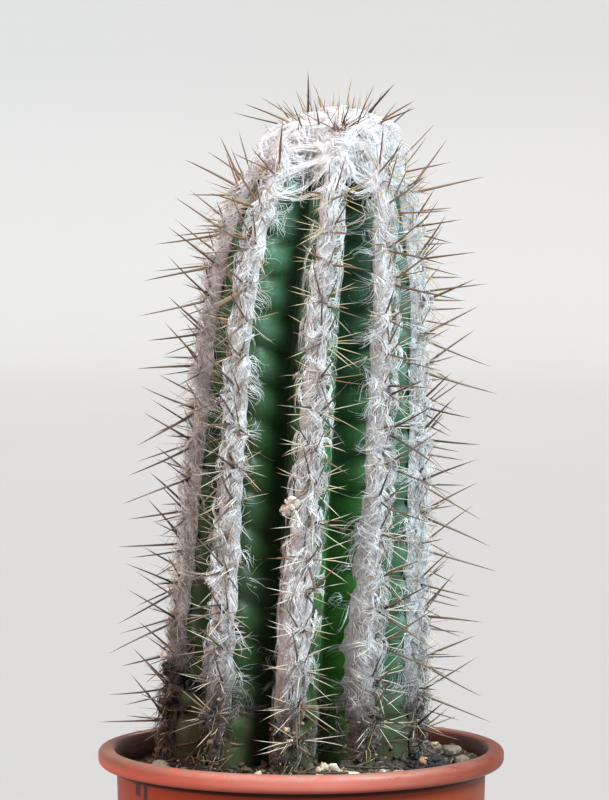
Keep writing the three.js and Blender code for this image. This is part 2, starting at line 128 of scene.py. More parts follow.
def make_mesh(name, points, face_blocks, **values):
    """A smooth mesh from points and blocks of faces, with a named value on each point."""
    mesh = bpy.data.meshes.new(name)
    corners = np.concatenate([block.ravel() for block in face_blocks])
    sizes = np.concatenate([np.full(len(block), block.shape[1]) for block in face_blocks])
    mesh.vertices.add(len(points))
    mesh.vertices.foreach_set("co", points.astype(np.float32).ravel())
    mesh.loops.add(len(corners))
    mesh.loops.foreach_set("vertex_index", corners.astype(np.int32))
    mesh.polygons.add(len(sizes))
    mesh.polygons.foreach_set("loop_start", (np.cumsum(sizes) - sizes).astype(np.int32))
    mesh.update(calc_edges=True)
    mesh.shade_smooth()
    for value_name, value in values.items():
        attribute = mesh.attributes.new(value_name, "FLOAT", "POINT")
        attribute.data.foreach_set("value", np.broadcast_to(value, len(points)).astype(np.float32))
    return mesh


def place_piece(mesh, material, slot, *nodes):
    """A piece of the plant or its pot, named like its mesh, which stands for the CAD nodes named."""
    piece = bpy.data.objects.new(mesh.name, mesh)
    bpy.context.scene.collection.objects.link(piece)
    mesh.materials.append(material)
    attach(piece, "root")
    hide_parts(*nodes)
    return piece


def new_material(name, **sockets):
    """A material, its node tree and its shader, with the shader's own sockets set by name."""
    material = bpy.data.materials.new(name)
    material.use_nodes = True
    tree = material.node_tree
    shader = tree.nodes["Principled BSDF"]
    for socket, value in sockets.items():
        shader.inputs[socket.replace("_", " ")].default_value = value
    return material, tree, shader


def add(tree, kind, *inputs, **settings):
    """A shader node. Each input is a socket with a value or with the output that feeds it."""
    made = tree.nodes.new("ShaderNode" + kind)
    for setting, value in settings.items():
        setattr(made, setting, value)
    for socket, value in inputs:
        if isinstance(value, bpy.types.NodeSocket):
            tree.links.new(value, made.inputs[socket])
        else:
            made.inputs[socket].default_value = value
    return made


def grain(tree, scale, detail=4.0, stretch=(1, 1, 1)):
    """Noise of 0 to 1 through the object's space, in lumps a metre over the scale across."""
    place = add(tree, "TexCoord").outputs["Object"]
    place = add(tree, "Mapping", ("Vector", place), ("Scale", stretch)).outputs["Vector"]
    return add(tree, "TexNoise", ("Vector", place), ("Scale", scale), ("Detail", detail)).outputs["Fac"]


def ramp(tree, value, *stops):
    """Colours along a value. Each stop is a place from 0 to 1 and a colour."""
    made = add(tree, "ValToRGB", ("Fac", value))
    for i, (place, colour) in enumerate(stops):
        stop = made.color_ramp.elements[i] if i < 2 else made.color_ramp.elements.new(place)
        stop.position = place
        stop.color = (*colour, 1)
    return made.outputs["Color"]


def between(tree, value, low, high):
    """A value as a share of the way from low to high, held within 0 to 1."""
    made = add(tree, "MapRange", ("Value", value), ("From Min", low), ("From Max", high))
    return made.outputs["Result"]


def maths(tree, operation, *numbers):
    """One sum of numbers or outputs."""
    return add(tree, "Math", *enumerate(numbers), operation=operation).outputs[0]


def product(tree, share, *others):
    """Shares multiplied together."""
    for other in others:
        share = maths(tree, "MULTIPLY", share, other)
    return share


def blended(tree, share, start, end):
    """One colour going over to another by a share. Colours are outputs or three numbers."""
    ends = [value if isinstance(value, bpy.types.NodeSocket) else (*value, 1) for value in (start, end)]
    return add(tree, "Mix", (0, share), (6, ends[0]), (7, ends[1]), data_type="RGBA").outputs[2]


def tinted(tree, colour, tint, *shares):
    """A colour that goes over to a tint by the product of some shares."""
    return blended(tree, product(tree, *shares), colour, tint)


def roughen(tree, shader, height, distance, strength):
    """Bump on a shader from a height of 0 to 1 that stands for a distance in metres."""
    made = add(tree, "Bump", ("Height", height), ("Distance", distance), ("Strength", strength))
    tree.links.new(made.outputs["Normal"], shader.inputs["Normal"])


def place_value(tree, axis):
    """Where a point is along the x, y or z axis, in metres."""
    place = add(tree, "TexCoord").outputs["Object"]
    return add(tree, "SeparateXYZ", ("Vector", place)).outputs[axis]


def make_pot_mesh():
    """The pot's shell turned from its profile, with its drain holes cut."""
    rim_foot = POT_HEIGHT - RIM_HEIGHT
    opening = RIM_RADIUS - RIM_WIDTH
    profile = np.concatenate([
        quarter(BASE_RADIUS - BASE_ROUND, BASE_ROUND, BASE_ROUND, -90, 0),
        [[COLLAR_FOOT_RADIUS, COLLAR_FOOT_HEIGHT]],
        [[COLLAR_RADIUS, rim_foot + COLLAR_TUCK]],
        quarter(RIM_RADIUS - RIM_FOOT_ROUND, rim_foot + RIM_FOOT_ROUND, RIM_FOOT_ROUND, -80, 0),
        quarter(RIM_RADIUS - RIM_TOP_ROUND, POT_HEIGHT - RIM_TOP_ROUND, RIM_TOP_ROUND, 0, 90),
        quarter(opening + RIM_INNER_ROUND, POT_HEIGHT - RIM_INNER_ROUND, RIM_INNER_ROUND, 90, 170),
        [[COLLAR_RADIUS - POT_WALL, rim_foot - RIM_INNER_DROP]],
        [[COLLAR_FOOT_RADIUS - POT_WALL, COLLAR_FOOT_HEIGHT]],
        [[BASE_RADIUS - POT_WALL, POT_FLOOR]],
    ])
    turns = np.linspace(0, 2 * pi, POT_SIDES, endpoint=False)
    rings = ring_points(turns, profile[:, :1], profile[:, 1:])
    shell = bpy.data.objects.new("shell", make_mesh("shell", *skin_over(rings, (0, 0, 0), (0, 0, POT_FLOOR))))
    drills = bmesh.new()
    for i in range(DRAIN_HOLES):
        angle = 2 * pi * (i + 0.5) / DRAIN_HOLES
        place = Matrix.Translation((DRAIN_CIRCLE_RADIUS * cos(angle), DRAIN_CIRCLE_RADIUS * sin(angle), 0))
        bmesh.ops.create_cone(
            drills, cap_ends=True, segments=DRILL_SIDES, radius1=DRAIN_RADIUS, radius2=DRAIN_RADIUS,
            depth=4 * POT_FLOOR, matrix=place,
        )
    drill_mesh = bpy.data.meshes.new("drills")
    drills.to_mesh(drill_mesh)
    drills.free()
    drill = bpy.data.objects.new("drills", drill_mesh)
    for made in (shell, drill):
        bpy.context.scene.collection.objects.link(made)
    cut = shell.modifiers.new("drain holes", "BOOLEAN")
    cut.operation = "DIFFERENCE"
    cut.object = drill
    mesh = bpy.data.meshes.new_from_object(shell.evaluated_get(bpy.context.evaluated_depsgraph_get()))
    for made in (shell, drill):
        bpy.data.objects.remove(made)
    mesh.name = "pot_shell"
    mesh.set_sharp_from_angle(angle=SHARP_ANGLE)
    return mesh


def mark_on(tree, axis, middle, half_width, blur):
    """1 within half a width of a place along an axis, falling to 0 over a blur."""
    away = maths(tree, "ABSOLUTE", maths(tree, "SUBTRACT", place_value(tree, axis), middle))
    return between(tree, away, half_width + blur, half_width)


def inner_face(tree, height):
    """1 on the inside of the collar and of the rim, and 0 elsewhere."""
    place = add(tree, "TexCoord").outputs["Object"]
    level = add(tree, "VectorMath", (0, place), (1, (1, 1, 0)), operation="MULTIPLY").outputs[0]
    from_middle = add(tree, "VectorMath", (0, level), operation="LENGTH").outputs["Value"]
    in_collar = product(
        tree, between(tree, from_middle, *COLLAR_INSIDE), between(tree, height, *COLLAR_START)
    )
    in_rim = product(
        tree, between(tree, from_middle, *RIM_INSIDE), mark_on(tree, "Z", *INNER_FACE_HEIGHTS)
    )
    return maths(tree, "MAXIMUM", in_collar, in_rim)


def make_pot_material():
    """Satin orange-red plastic, faded and with a painted highlight at the rim, dust on its upper edge and
    soil stains inside. Painted shade darkens its right side, a line under the rim and its inside, and painted
    light makes the rim redder on the left.
    """
    material, tree, shader = new_material("pot plastic", Roughness=0.42, Specular_IOR_Level=0.2)
    patches = grain(tree, 38, 5)
    streaks = grain(tree, 160, 6, (1, 1, 5))
    specks = grain(tree, 900, 3)
    along_x, height = place_value(tree, "X"), place_value(tree, "Z")
    on_left = between(tree, along_x, *RIM_LEFT)
    on_right = between(tree, along_x, *RIM_RIGHT)
    on_rim = between(tree, height, *RIM_FACE)
    plastic = tinted(tree, ramp(tree, patches, *WALL_COLOURS), PAINTED_SHADE_ON_RIGHT_WALL, on_right, 0.8)
    plastic = tinted(tree, plastic, FADED_RIM_AND_HIGHLIGHT, on_rim)
    plastic = tinted(tree, plastic, PAINTED_LIGHT_ON_LEFT_RIM, on_left, on_rim, 0.7)
    plastic = tinted(tree, plastic, PAINTED_SHADOW_UNDER_RIM, mark_on(tree, "Z", *PAINTED_SHADOW_UNDER_RIM_HEIGHTS))
    plastic = tinted(tree, plastic, SOIL_STAIN_AND_SHADE, inner_face(tree, height), 0.9)
    in_front = between(tree, place_value(tree, "Y"), *FRONT_WALL)
    for middle, half_width, drop, half_height in SCUFFS:
        across = mark_on(tree, "X", middle, half_width, SCUFF_BLUR_ACROSS)
        along = mark_on(tree, "Z", POT_HEIGHT - drop, half_height, SCUFF_BLUR_UPRIGHT)
        plastic = tinted(tree, plastic, SCUFF, across, in_front, along, between(tree, specks, 0.10, 0.45))
    plastic = tinted(tree, plastic, PAINTED_SHADE_ON_RIGHT_RIM, on_right, on_rim, 0.95)
    upper = between(tree, height, *DUSTY_EDGE)
    film = product(tree, upper, between(tree, streaks, 0.32, 0.62))
    crust = product(tree, upper, between(tree, specks, 0.56, 0.68))
    dust = maths(tree, "MINIMUM", maths(tree, "ADD", film, crust), MOST_DUST)
    dust = product(tree, dust, between(tree, maths(tree, "ABSOLUTE", along_x), *DUSTY_BREADTH))
    haze = product(tree, between(tree, streaks, 0.45, 0.75), 0.18, on_rim, between(tree, on_right, 1.2, 0.2))
    plastic = tinted(tree, plastic, DUST, maths(tree, "MAXIMUM", dust, haze))
    upper_edge = between(tree, height, *SOILED_HEIGHTS)
    far_left = between(tree, along_x, *SOILED_LEFT)
    plastic = tinted(tree, plastic, SOILED_EDGE, far_left, between(tree, streaks, 0.2, 0.5), upper_edge, 0.8)
    tree.links.new(plastic, shader.inputs["Base Color"])
    tree.links.new(between(tree, patches, -0.6, 1.9), shader.inputs["Roughness"])
    roughen(tree, shader, streaks, distance=0.00015, strength=0.35)
    return material


place_piece(make_pot_mesh(), make_pot_material(), "pot_plastic", "pot")

# Stem: one grown column of firm green flesh under a waxy skin, with nine deep ribs. It leans a little to the
# right and rounds over at the top. Each rib swells at its areoles, with a notch running down between two.
RIBS = 9
STEM_FOOT = -0.030
STEM_TOP = 0.1855
STEM_FOOT_RADIUS = 0.024
STEM_FOOT_ROUNDNESS = 1.6
STEM_RADIUS = 0.0354
STEM_TAPER = 0.05
STEM_WANDER = 0.0001
STEM_WANDER_LENGTH = 0.014
SHOULDER_HEIGHT = 0.125
SHOULDER_ROUNDNESS = 0.4
VALLEY_SHARE = 0.6
RIB_SHARPNESS = 2.2
RIB_FADE_LENGTH = 0.014
FOOT_FADE_LENGTH = 0.01
AREOLE_PITCH = 0.0105
FIRST_AREOLE = 0.007
CLIMB_STEP = 0.00005
BAND_TOP = 0.174
LAST_AREOLE = BAND_TOP - 0.002
# Direction of each crest from the front, in degrees, turning to the right.
CREST_TURN_AT_FOOT = np.radians([-82, -36.5, 0, 37, 76, 117, 157, 197, 238])
CREST_TURN_AT_TOP = np.radians([-80, -42, 6.5, 45, 82, 121, 161, 201, 240])
LEAN_AT_RIM = -0.0026
LEAN_SLOPE = 0.05
CROWN_BEND_START = 0.140
CROWN_BEND_LENGTH = 0.048
CROWN_BEND = 0.004
STEM_STEPS_PER_FLANK = 10
STEM_ROWS = 130
DOME_ROWS = 36
DOME_END = 0.94 * pi / 2
AREOLE_SWELL = 0.0007
NOTCH_DEPTH = 0.00045
NOTCH_SHARPNESS = 7
NOTCH_SLANT = 0.55
FLANK_SWELL = 0.0006
FLANK_NOTCH = 0.0009
# Green flesh from crest to valley: its own green, darkened toward the valley by painted shade.
FLESH_WITH_VALLEY_SHADE = (
    (0.12, (0.060, 0.15, 0.050)), (0.35, (0.030, 0.13, 0.024)), (0.65, (0.015, 0.105, 0.008)),
    (0.95, (0.016, 0.055, 0.007)),
)
COOL_GREEN = (0.050, 0.110, 0.064)
LOW_CHEVRON = (0.034, 0.135, 0.036)
HIGH_CHEVRON = (0.095, 0.21, 0.140)
WAXY_BLOOM = (0.45, 0.60, 0.52)
SHADED_FLANK = (0.006, 0.020, 0.005)
# Painted shade in the notches between the areoles.
PAINTED_CREASE_SHADE = (0.010, 0.028, 0.010)
SHADED_VALLEY = (0.010, 0.016, 0.004)
GREEN_AT_RIGHT = (0.045, 0.095, 0.070)
SUNNY_GREEN = (0.040, 0.19, 0.012)
# Painted shade on the skin beside the front rib's wool.
PAINTED_SHADE_BESIDE_WOOL = (0.012, 0.036, 0.008)
SCURF = (0.060, 0.055, 0.026)
# Where each change of the skin starts and where it is full, as a height or a place.
UPPER_STEM = (POT_HEIGHT + 0.085, POT_HEIGHT + 0.155)
LOWER_STEM = (POT_HEIGHT + 0.080, POT_HEIGHT + 0.030)
STEM_BY_SOIL = (POT_HEIGHT + 0.026, POT_HEIGHT + 0.002)
STEM_LEFT = (0.004, -0.004)
STEM_RIGHT = (0.0, 0.008)
STEM_FAR_RIGHT = (0.016, 0.023)
STEM_FRONT = (0.0, -0.01)
# Left and right edge of the shaded strip beside the front rib's wool.
SHADED_STRIP = ((-0.001, 0.003), (0.0092, 0.0055))


def mix(start, end, share):
    """A number at a share of the way from one to another."""
    return start + (end - start) * share


def crest_radius(height):
    """Radius of the stem over its crests. Heights on the plant are counted from the pot's rim."""
    buried = mix(STEM_RADIUS, STEM_FOOT_RADIUS, np.clip(height / STEM_FOOT, 0, 1) ** STEM_FOOT_ROUNDNESS)
    climb = np.clip((height - SHOULDER_HEIGHT) / (STEM_TOP - SHOULDER_HEIGHT), 0, 1)
    column = (STEM_RADIUS - STEM_TAPER * height) * (1 - climb**2) ** SHOULDER_ROUNDNESS
    return np.where(np.asarray(height) < 0, buried, column)


def lean(height):
    """Sideways place of the stem's middle."""
    bend = np.maximum(0, (height - CROWN_BEND_START) / CROWN_BEND_LENGTH)
    return LEAN_AT_RIM + LEAN_SLOPE * height + CROWN_BEND * bend**2


def crest_turn(rib, height):
    """Direction of a rib's crest round the stem. Ribs past the last one start again a full turn on."""
    own = np.mod(rib, RIBS)
    lap = np.floor_divide(rib, RIBS)
    share = np.clip(height / STEM_TOP, 0, 1)
    return mix(CREST_TURN_AT_FOOT[own], CREST_TURN_AT_TOP[own], share) + 2 * pi * lap


def half_spacing(rib, hand, height):
    """Half the angle from a rib's crest to its neighbour on one hand."""
    return np.abs(crest_turn(rib + hand, height) - crest_turn(rib, height)) / 2


def rib_radius(share, height):
    """Radius of the skin at a share of the way from crest to valley. The ribs fade out at the crown."""
    fade = np.clip((STEM_TOP - height) / RIB_FADE_LENGTH, 0, 1)
    valley = ((1 - np.cos(pi * share)) / 2) ** RIB_SHARPNESS
    return crest_radius(height) * (1 - (1 - VALLEY_SHARE) * fade * valley)


def around(turn, distance, height):
    """Points round the stem's leaning middle."""
    return ring_points(turn, distance, POT_HEIGHT + height, lean(height))


def climb_crest(first, last, step):
    """Heights up a crest, one every given length along it."""
    fine = np.arange(first, last, CLIMB_STEP)
    walked = np.concatenate([[0], np.cumsum(np.hypot(np.diff(fine), np.diff(crest_radius(fine))))])
    return np.interp(np.arange(0, walked[-1], step), walked, fine)


def areole_heights(rib):
    """Heights of a rib's areoles. Neighbouring ribs are half a pitch apart."""
    first = FIRST_AREOLE + (AREOLE_PITCH / 2 if rib % 2 else 0)
    return climb_crest(first, LAST_AREOLE, AREOLE_PITCH)


def areole_phase(rib, height):
    """Where a height is among a rib's areoles: a whole number at each, and halves midway between two."""
    heights = areole_heights(rib)
    pitches = np.gradient(heights)
    below = (np.minimum(height, heights[0]) - heights[0]) / pitches[0]
    above = (np.maximum(height, heights[-1]) - heights[-1]) / pitches[-1]
    return np.interp(height, heights, np.arange(len(heights))) + below + above


def ripples(points, wavelength, seed, waves=8):
    """Smooth lumps of about -1 to 1 over points, summed from waves in random directions."""
    draws = np.random.default_rng(seed)
    ways = draws.normal(size=(waves, 3))
    ways *= 2 * pi / wavelength / np.linalg.norm(ways, axis=1, keepdims=True)
    return np.sin(points @ ways.T + draws.uniform(0, 2 * pi, waves)).sum(axis=-1) / waves**0.5


def flank_columns(steps):
    """Rib numbers and shares from valley (-1) over the crest (0) to valley (1), once round the stem."""
    shares = np.arange(-steps, steps) / steps
    ribs = np.repeat(np.arange(RIBS), len(shares))
    return ribs, np.tile(shares, RIBS)


def make_stem_mesh():
    """The ribbed column, with its areole swellings and notches."""
    ribs, shares = flank_columns(STEM_STEPS_PER_FLANK)
    hands = np.where(shares < 0, -1, 1)
    straight = np.linspace(STEM_FOOT, SHOULDER_HEIGHT, STEM_ROWS, endpoint=False)
    dome_angle = np.linspace(0, DOME_END, DOME_ROWS)
    dome = SHOULDER_HEIGHT + (STEM_TOP - SHOULDER_HEIGHT) * np.sin(dome_angle)
    heights = np.concatenate([straight, dome])[:, None]
    turn = crest_turn(ribs, heights) + shares * half_spacing(ribs, hands, heights)
    toward_valley = np.abs(shares)
    across = toward_valley * half_spacing(ribs, hands, heights) * crest_radius(heights)
    phase = np.empty(turn.shape)
    for rib in range(RIBS):
        mine = ribs == rib
        phase[:, mine] = areole_phase(rib, heights + NOTCH_SLANT * across[:, mine])
    swell = 0.5 + 0.5 * np.cos(2 * pi * phase)
    fade = np.clip((STEM_TOP - heights) / RIB_FADE_LENGTH, 0, 1) * np.clip(heights / FOOT_FADE_LENGTH, 0, 1)
    notch = (1 - swell) ** NOTCH_SHARPNESS
    relief = fade * (1 - toward_valley**5) * (AREOLE_SWELL * swell - NOTCH_DEPTH * notch)
    bulge = fade * np.sin(pi * toward_valley) * (FLANK_SWELL * swell - FLANK_NOTCH * notch)
    turn = turn + hands * bulge / crest_radius(heights)
    points = around(turn, rib_radius(toward_valley, heights) + relief, heights)
    points = points + ripples(points, STEM_WANDER_LENGTH, 3)[..., None] * [STEM_WANDER, STEM_WANDER, 0]
    foot = (lean(STEM_FOOT), 0, POT_HEIGHT + STEM_FOOT)
    top = (lean(STEM_TOP), 0, POT_HEIGHT + STEM_TOP)
    skin, faces = skin_over(points, foot, top)
    out_of_valley = 1 - toward_valley**8
    values = {
        "valley": toward_valley,
        "swelling": swell * out_of_valley,
        "notch": notch * out_of_valley,
        "left_flank": np.clip(-1.6 * shares - 0.3, 0, 1),
    }
    for name, value in values.items():
        values[name] = np.pad(np.broadcast_to(value, turn.shape).ravel(), 1)
    return make_mesh("ribbed_stem", skin, faces, **values)


def value_of(tree, name):
    """The value that a mesh carries on its points."""
    return add(tree, "Attribute", attribute_name=name).outputs["Fac"]


def make_skin_material():
    """Waxy green skin, paler where it bulges, yellower where painted light makes it sunny low on the right,
    and darkened by painted shade toward its valleys, in its creases, on its left flanks and beside the front
    wool.
    """
    material, tree, shader = new_material(
        "green skin", Roughness=0.5, Specular_IOR_Level=0.25, Sheen_Weight=0.04, Sheen_Roughness=0.5
    )
    patches = grain(tree, 60, 4)
    specks = grain(tree, 1500, 2)
    valley = value_of(tree, "valley")
    along_x, height = place_value(tree, "X"), place_value(tree, "Z")
    upper = between(tree, height, *UPPER_STEM)
    lower = between(tree, height, *LOWER_STEM)
    mottled = product(tree, between(tree, patches, 0.4, 0.8), 0.5)
    skin = ramp(tree, valley, *FLESH_WITH_VALLEY_SHADE)
    skin = tinted(tree, skin, COOL_GREEN, maths(tree, "MAXIMUM", mottled, product(tree, upper, 0.75)))
    chevron = blended(tree, between(tree, upper, 0.0, 0.5), LOW_CHEVRON, HIGH_CHEVRON)
    skin = tinted(tree, skin, chevron, maths(tree, "POWER", value_of(tree, "swelling"), 2.0), 0.65)
    skin = tinted(tree, skin, WAXY_BLOOM, between(tree, specks, 0.5, 0.7), 0.07)
    left_flank, notch = value_of(tree, "left_flank"), value_of(tree, "notch")
    skin = tinted(tree, skin, SHADED_FLANK, left_flank, between(tree, upper, -0.6, 1.0), 0.6)
    skin = tinted(tree, skin, PAINTED_CREASE_SHADE, notch, between(tree, upper, -0.9, 0.6))
    low_left = product(tree, between(tree, along_x, *STEM_LEFT), between(tree, upper, 1.0, 0.0))
    skin = tinted(tree, skin, SHADED_VALLEY, low_left, between(tree, valley, 2.2, 0.6), 0.78)
    far_right = between(tree, along_x, *STEM_FAR_RIGHT)
    skin = tinted(tree, skin, GREEN_AT_RIGHT, far_right, 0.6)
    sunny = product(tree, between(tree, along_x, *STEM_RIGHT), lower, between(tree, far_right, 1.0, 0.0))
    skin = tinted(tree, skin, SUNNY_GREEN, sunny, between(tree, valley, 0.25, 0.5), 0.6)
    beside_wool = product(tree, *(between(tree, along_x, *edge) for edge in SHADED_STRIP))
    in_front = between(tree, place_value(tree, "Y"), *STEM_FRONT)
    skin = tinted(tree, skin, PAINTED_SHADE_BESIDE_WOOL, beside_wool, lower, in_front, 0.75)
    near_soil = between(tree, height, *STEM_BY_SOIL)
    skin = tinted(tree, skin, SCURF, near_soil, between(tree, grain(tree, 260, 4), 0.25, 0.55))
    tree.links.new(skin, shader.inputs["Base Color"])
    tree.links.new(between(tree, patches, -1.1, 2.2), shader.inputs["Roughness"])
    roughen(tree, shader, specks, distance=0.00004, strength=0.5)
    return material


place_piece(make_stem_mesh(), make_skin_material(), "green_skin", "stem")

# Soil: dark peaty compost filled in round the root, heaped a little to the right, with grit, pebbles and bits
# of bark on top. It is open where the stem stands in it.
SOIL_AT_STEM = -0.0022
SOIL_AT_WALL = -0.0065
SOIL_HEAP = 0.0024
SOIL_WAVE = 0.0006
SOIL_RIPPLE = 0.0004
# Height, distance apart and seed of the coarse and the fine lumps.
SOIL_CRUMBLE = ((0.0007, 0.005, 11), (0.0005, 0.0021, 12))
SOIL_CRUMBLE_SINK = 0.0006
SOIL_WALL_GAP = 0.0005
STEM_HOLE_GAP = 0.0008
CLEARANCE = 0.0003
SOIL_STEPS_PER_FLANK = 18
SOIL_SURFACE_ROWS = 26
COMPOST = ((0.35, (0.008, 0.006, 0.005)), (0.55, (0.032, 0.021, 0.014)), (0.75, (0.09, 0.06, 0.036)))
COMPOST_FIBRE = (0.24, 0.16, 0.09)
STONE_TILT = 0.35
WORN_GRIT = (0.09, 0.06, 0.04)
PEBBLES = 22
PEBBLE_RADIUS = 0.0023
PEBBLE_RADIUS_SPREAD = 0.3
PEBBLE_FLATNESS = 0.75
PEBBLE_TOP = 0.0016
PEBBLE_RING_RADIUS = 0.0462
PEBBLE_RING_SPREAD = 0.0033
PEBBLE_TONES = (
    (0.0, (0.10, 0.07, 0.05)), (0.3, (0.30, 0.22, 0.15)), (0.55, (0.45, 0.38, 0.30)),
    (0.8, (0.36, 0.20, 0.10)), (1.0, (0.80, 0.70, 0.50)),
)
GOLDEN_ANGLE = pi * (3 - 5**0.5)
CRUMBS = 1500
FINE_CRUMBS = 1200
CRUMB_SIZE = 0.0003
CRUMB_SIZE_SPREAD = 0.0015
CRUMB_TONES = (
    (0.0, (0.010, 0.008, 0.007)), (0.6, (0.04, 0.027, 0.018)), (0.76, (0.10, 0.065, 0.04)),
    (0.83, (0.28, 0.20, 0.12)), (0.92, (0.55, 0.48, 0.38)),
)
# Place to the right and to the back, size and tone of each.
CHUNKS = (
    (0.0062, -0.0374, 0.0020, 0.93),
    (0.0090, -0.0368, 0.0025, 0.96),
    (0.0120, -0.0375, 0.0018, 0.91),
    (0.0082, -0.0350, 0.0017, 0.88),
    (0.0158, -0.0390, 0.0016, 0.60),
    (0.0187, -0.0385, 0.0014, 0.72),
    (0.0240, -0.0355, 0.0018, 0.10),
    (-0.0125, -0.0385, 0.0016, 0.86),
    (-0.0085, -0.0400, 0.0014, 0.55),
    (-0.005, -0.0475, 0.0015, 0.62),
    (-0.009, -0.0485, 0.0013, 0.35),
    (-0.001, -0.0492, 0.0012, 0.98),
    (0.003, -0.0490, 0.0012, 0.78),
    (0.026, -0.0450, 0.0017, 0.88),
    (0.048, -0.018, 0.0012, 0.66),
    (0.0455, -0.011, 0.0010, 0.88),
    (0.046, -0.024, 0.0009, 0.88),
    (-0.044, -0.018, 0.0018, 0.3),
    (-0.036, -0.035, 0.0015, 0.2),
)
CLOD_HEAP = (0.037, -0.025)
CLOD_HEAP_SPREAD = (0.0038, 0.0062)
CLOD_HEAP_REACH = (0.0050, 0.0075)
CLOD_HEAP_FRONT = -0.013
HEAPED_CLODS = 90
HEAP_HEIGHT = 0.0042
CLOD_SIZE = 0.0005
CLOD_SIZE_SPREAD = 0.0011
DARK_CLOD_SHARE = 0.95
PALE_CLOD_TONE = 0.75
# The darkest clods are bluish black: their own black with a painted bluish reflection.
CLOD_TONES = (
    (0.0, (0.010, 0.011, 0.015)), (0.3, (0.07, 0.045, 0.03)), (0.6, (0.30, 0.20, 0.12)),
    (0.8, (0.45, 0.26, 0.12)), (0.9, (0.66, 0.56, 0.32)), (1.0, (0.84, 0.72, 0.66)),
)
WORN_CLOD = (0.03, 0.022, 0.018)


def draw(rib, areole, spine, use):
    """A repeatable number from 0 to 1 for each place and use."""
    modulus = 2147483647
    state = (rib * 7919 + areole * 104729 + spine * 1299709 + use * 15485863 + 12345) % modulus
    for _ in range(3):
        state = state * 16807 % modulus
    return state / modulus


def spread(rib, areole, spine, use, amount):
    """The same number spread evenly from -amount to amount."""
    return (2 * draw(rib, areole, spine, use) - 1) * amount


def soil_height(x, y):
    """Height of the soil's surface above the rim."""
    out = np.clip((np.hypot(x, y) - STEM_RADIUS) / (COLLAR_RADIUS - STEM_RADIUS), 0, 1)
    turn = np.arctan2(x, -y)
    heap = SOIL_HEAP * out * np.sin(turn)
    waves = SOIL_WAVE * np.sin(5 * turn + 1) + SOIL_RIPPLE * np.sin(400 * x + 700 * y)
    return mix(SOIL_AT_STEM, SOIL_AT_WALL, out) + heap + waves


def make_soil_mesh():
    """The filling, with a crumbly surface and the hole that the stem stands in."""
    ribs, shares = flank_columns(SOIL_STEPS_PER_FLANK)
    hands = np.where(shares < 0, -1, 1)
    turn = crest_turn(ribs, 0) + shares * half_spacing(ribs, hands, 0)
    inset = POT_WALL + SOIL_WALL_GAP
    hole = rib_radius(np.abs(shares), 0) + STEM_HOLE_GAP
    out = np.linspace(1, 0, SOIL_SURFACE_ROWS)[:, None]
    flat = ring_points(turn, mix(hole, COLLAR_RADIUS - inset, out), 0.0, LEAN_AT_RIM * (1 - out))
    crumble = sum(height * np.abs(ripples(flat, apart, seed)) for height, apart, seed in SOIL_CRUMBLE)
    crumble = (crumble - SOIL_CRUMBLE_SINK) * np.minimum(1, 8 * (1 - out))
    flat[..., 2] = POT_HEIGHT + soil_height(flat[..., 0], flat[..., 1]) + crumble
    foot = ring_points(turn, BASE_RADIUS - inset, POT_FLOOR + CLEARANCE)
    waist = ring_points(turn, COLLAR_FOOT_RADIUS - inset, COLLAR_FOOT_HEIGHT)
    depth = STEM_FOOT - CLEARANCE
    pit = ring_points(turn, STEM_FOOT_RADIUS + STEM_HOLE_GAP, POT_HEIGHT + depth, lean(depth))
    rings = np.concatenate([foot[None], waist[None], flat, pit[None]])
    bottom = (0, 0, POT_FLOOR + CLEARANCE)
    return make_mesh("soil_filling", *skin_over(rings, bottom, (lean(depth), 0, POT_HEIGHT + depth)))


def make_stones(name, places, sizes, tones, seed, lumpiness, flatness, subdivisions=2):
    """A mesh of many uneven stones, each with a tone of 0 to 1 that is its own or drawn at random."""
    draws = np.random.default_rng(seed)
    ball = bmesh.new()
    bmesh.ops.create_icosphere(ball, subdivisions=subdivisions, radius=1)
    unit = np.array([corner.co for corner in ball.verts])
    triangles = np.array([[corner.index for corner in face.verts] for face in ball.faces])
    ball.free()
    points = []
    for place, size in zip(places, sizes):
        stone = unit * draws.uniform(0.7, 1.2, 3) * [1, 1, flatness]
        shift = draws.uniform(0, 9, 3)
        own_seed = int(draws.integers(1e6))
        rough = ripples(unit + shift, 1.6, own_seed) + 0.4 * ripples(unit + shift, 0.6, own_seed + 1)
        stone *= 1 + lumpiness * rough[:, None]
        turn = draws.uniform(0, 2 * pi)
        tilt = draws.normal(0, STONE_TILT)
        spin = np.array([[cos(turn), -sin(turn), 0], [sin(turn), cos(turn), 0], [0, 0, 1]])
        tip = np.array([[1, 0, 0], [0, cos(tilt), -sin(tilt)], [0, sin(tilt), cos(tilt)]])
        points.append(place + size * stone @ (spin @ tip).T)
    starts = len(unit) * np.arange(len(points))[:, None, None]
    faces = (triangles + starts).reshape(-1, 3)
    own_tones = draws.random(len(points)) if tones is None else tones
    return make_mesh(name, np.concatenate(points), [faces], shade=np.repeat(own_tones, len(unit)))


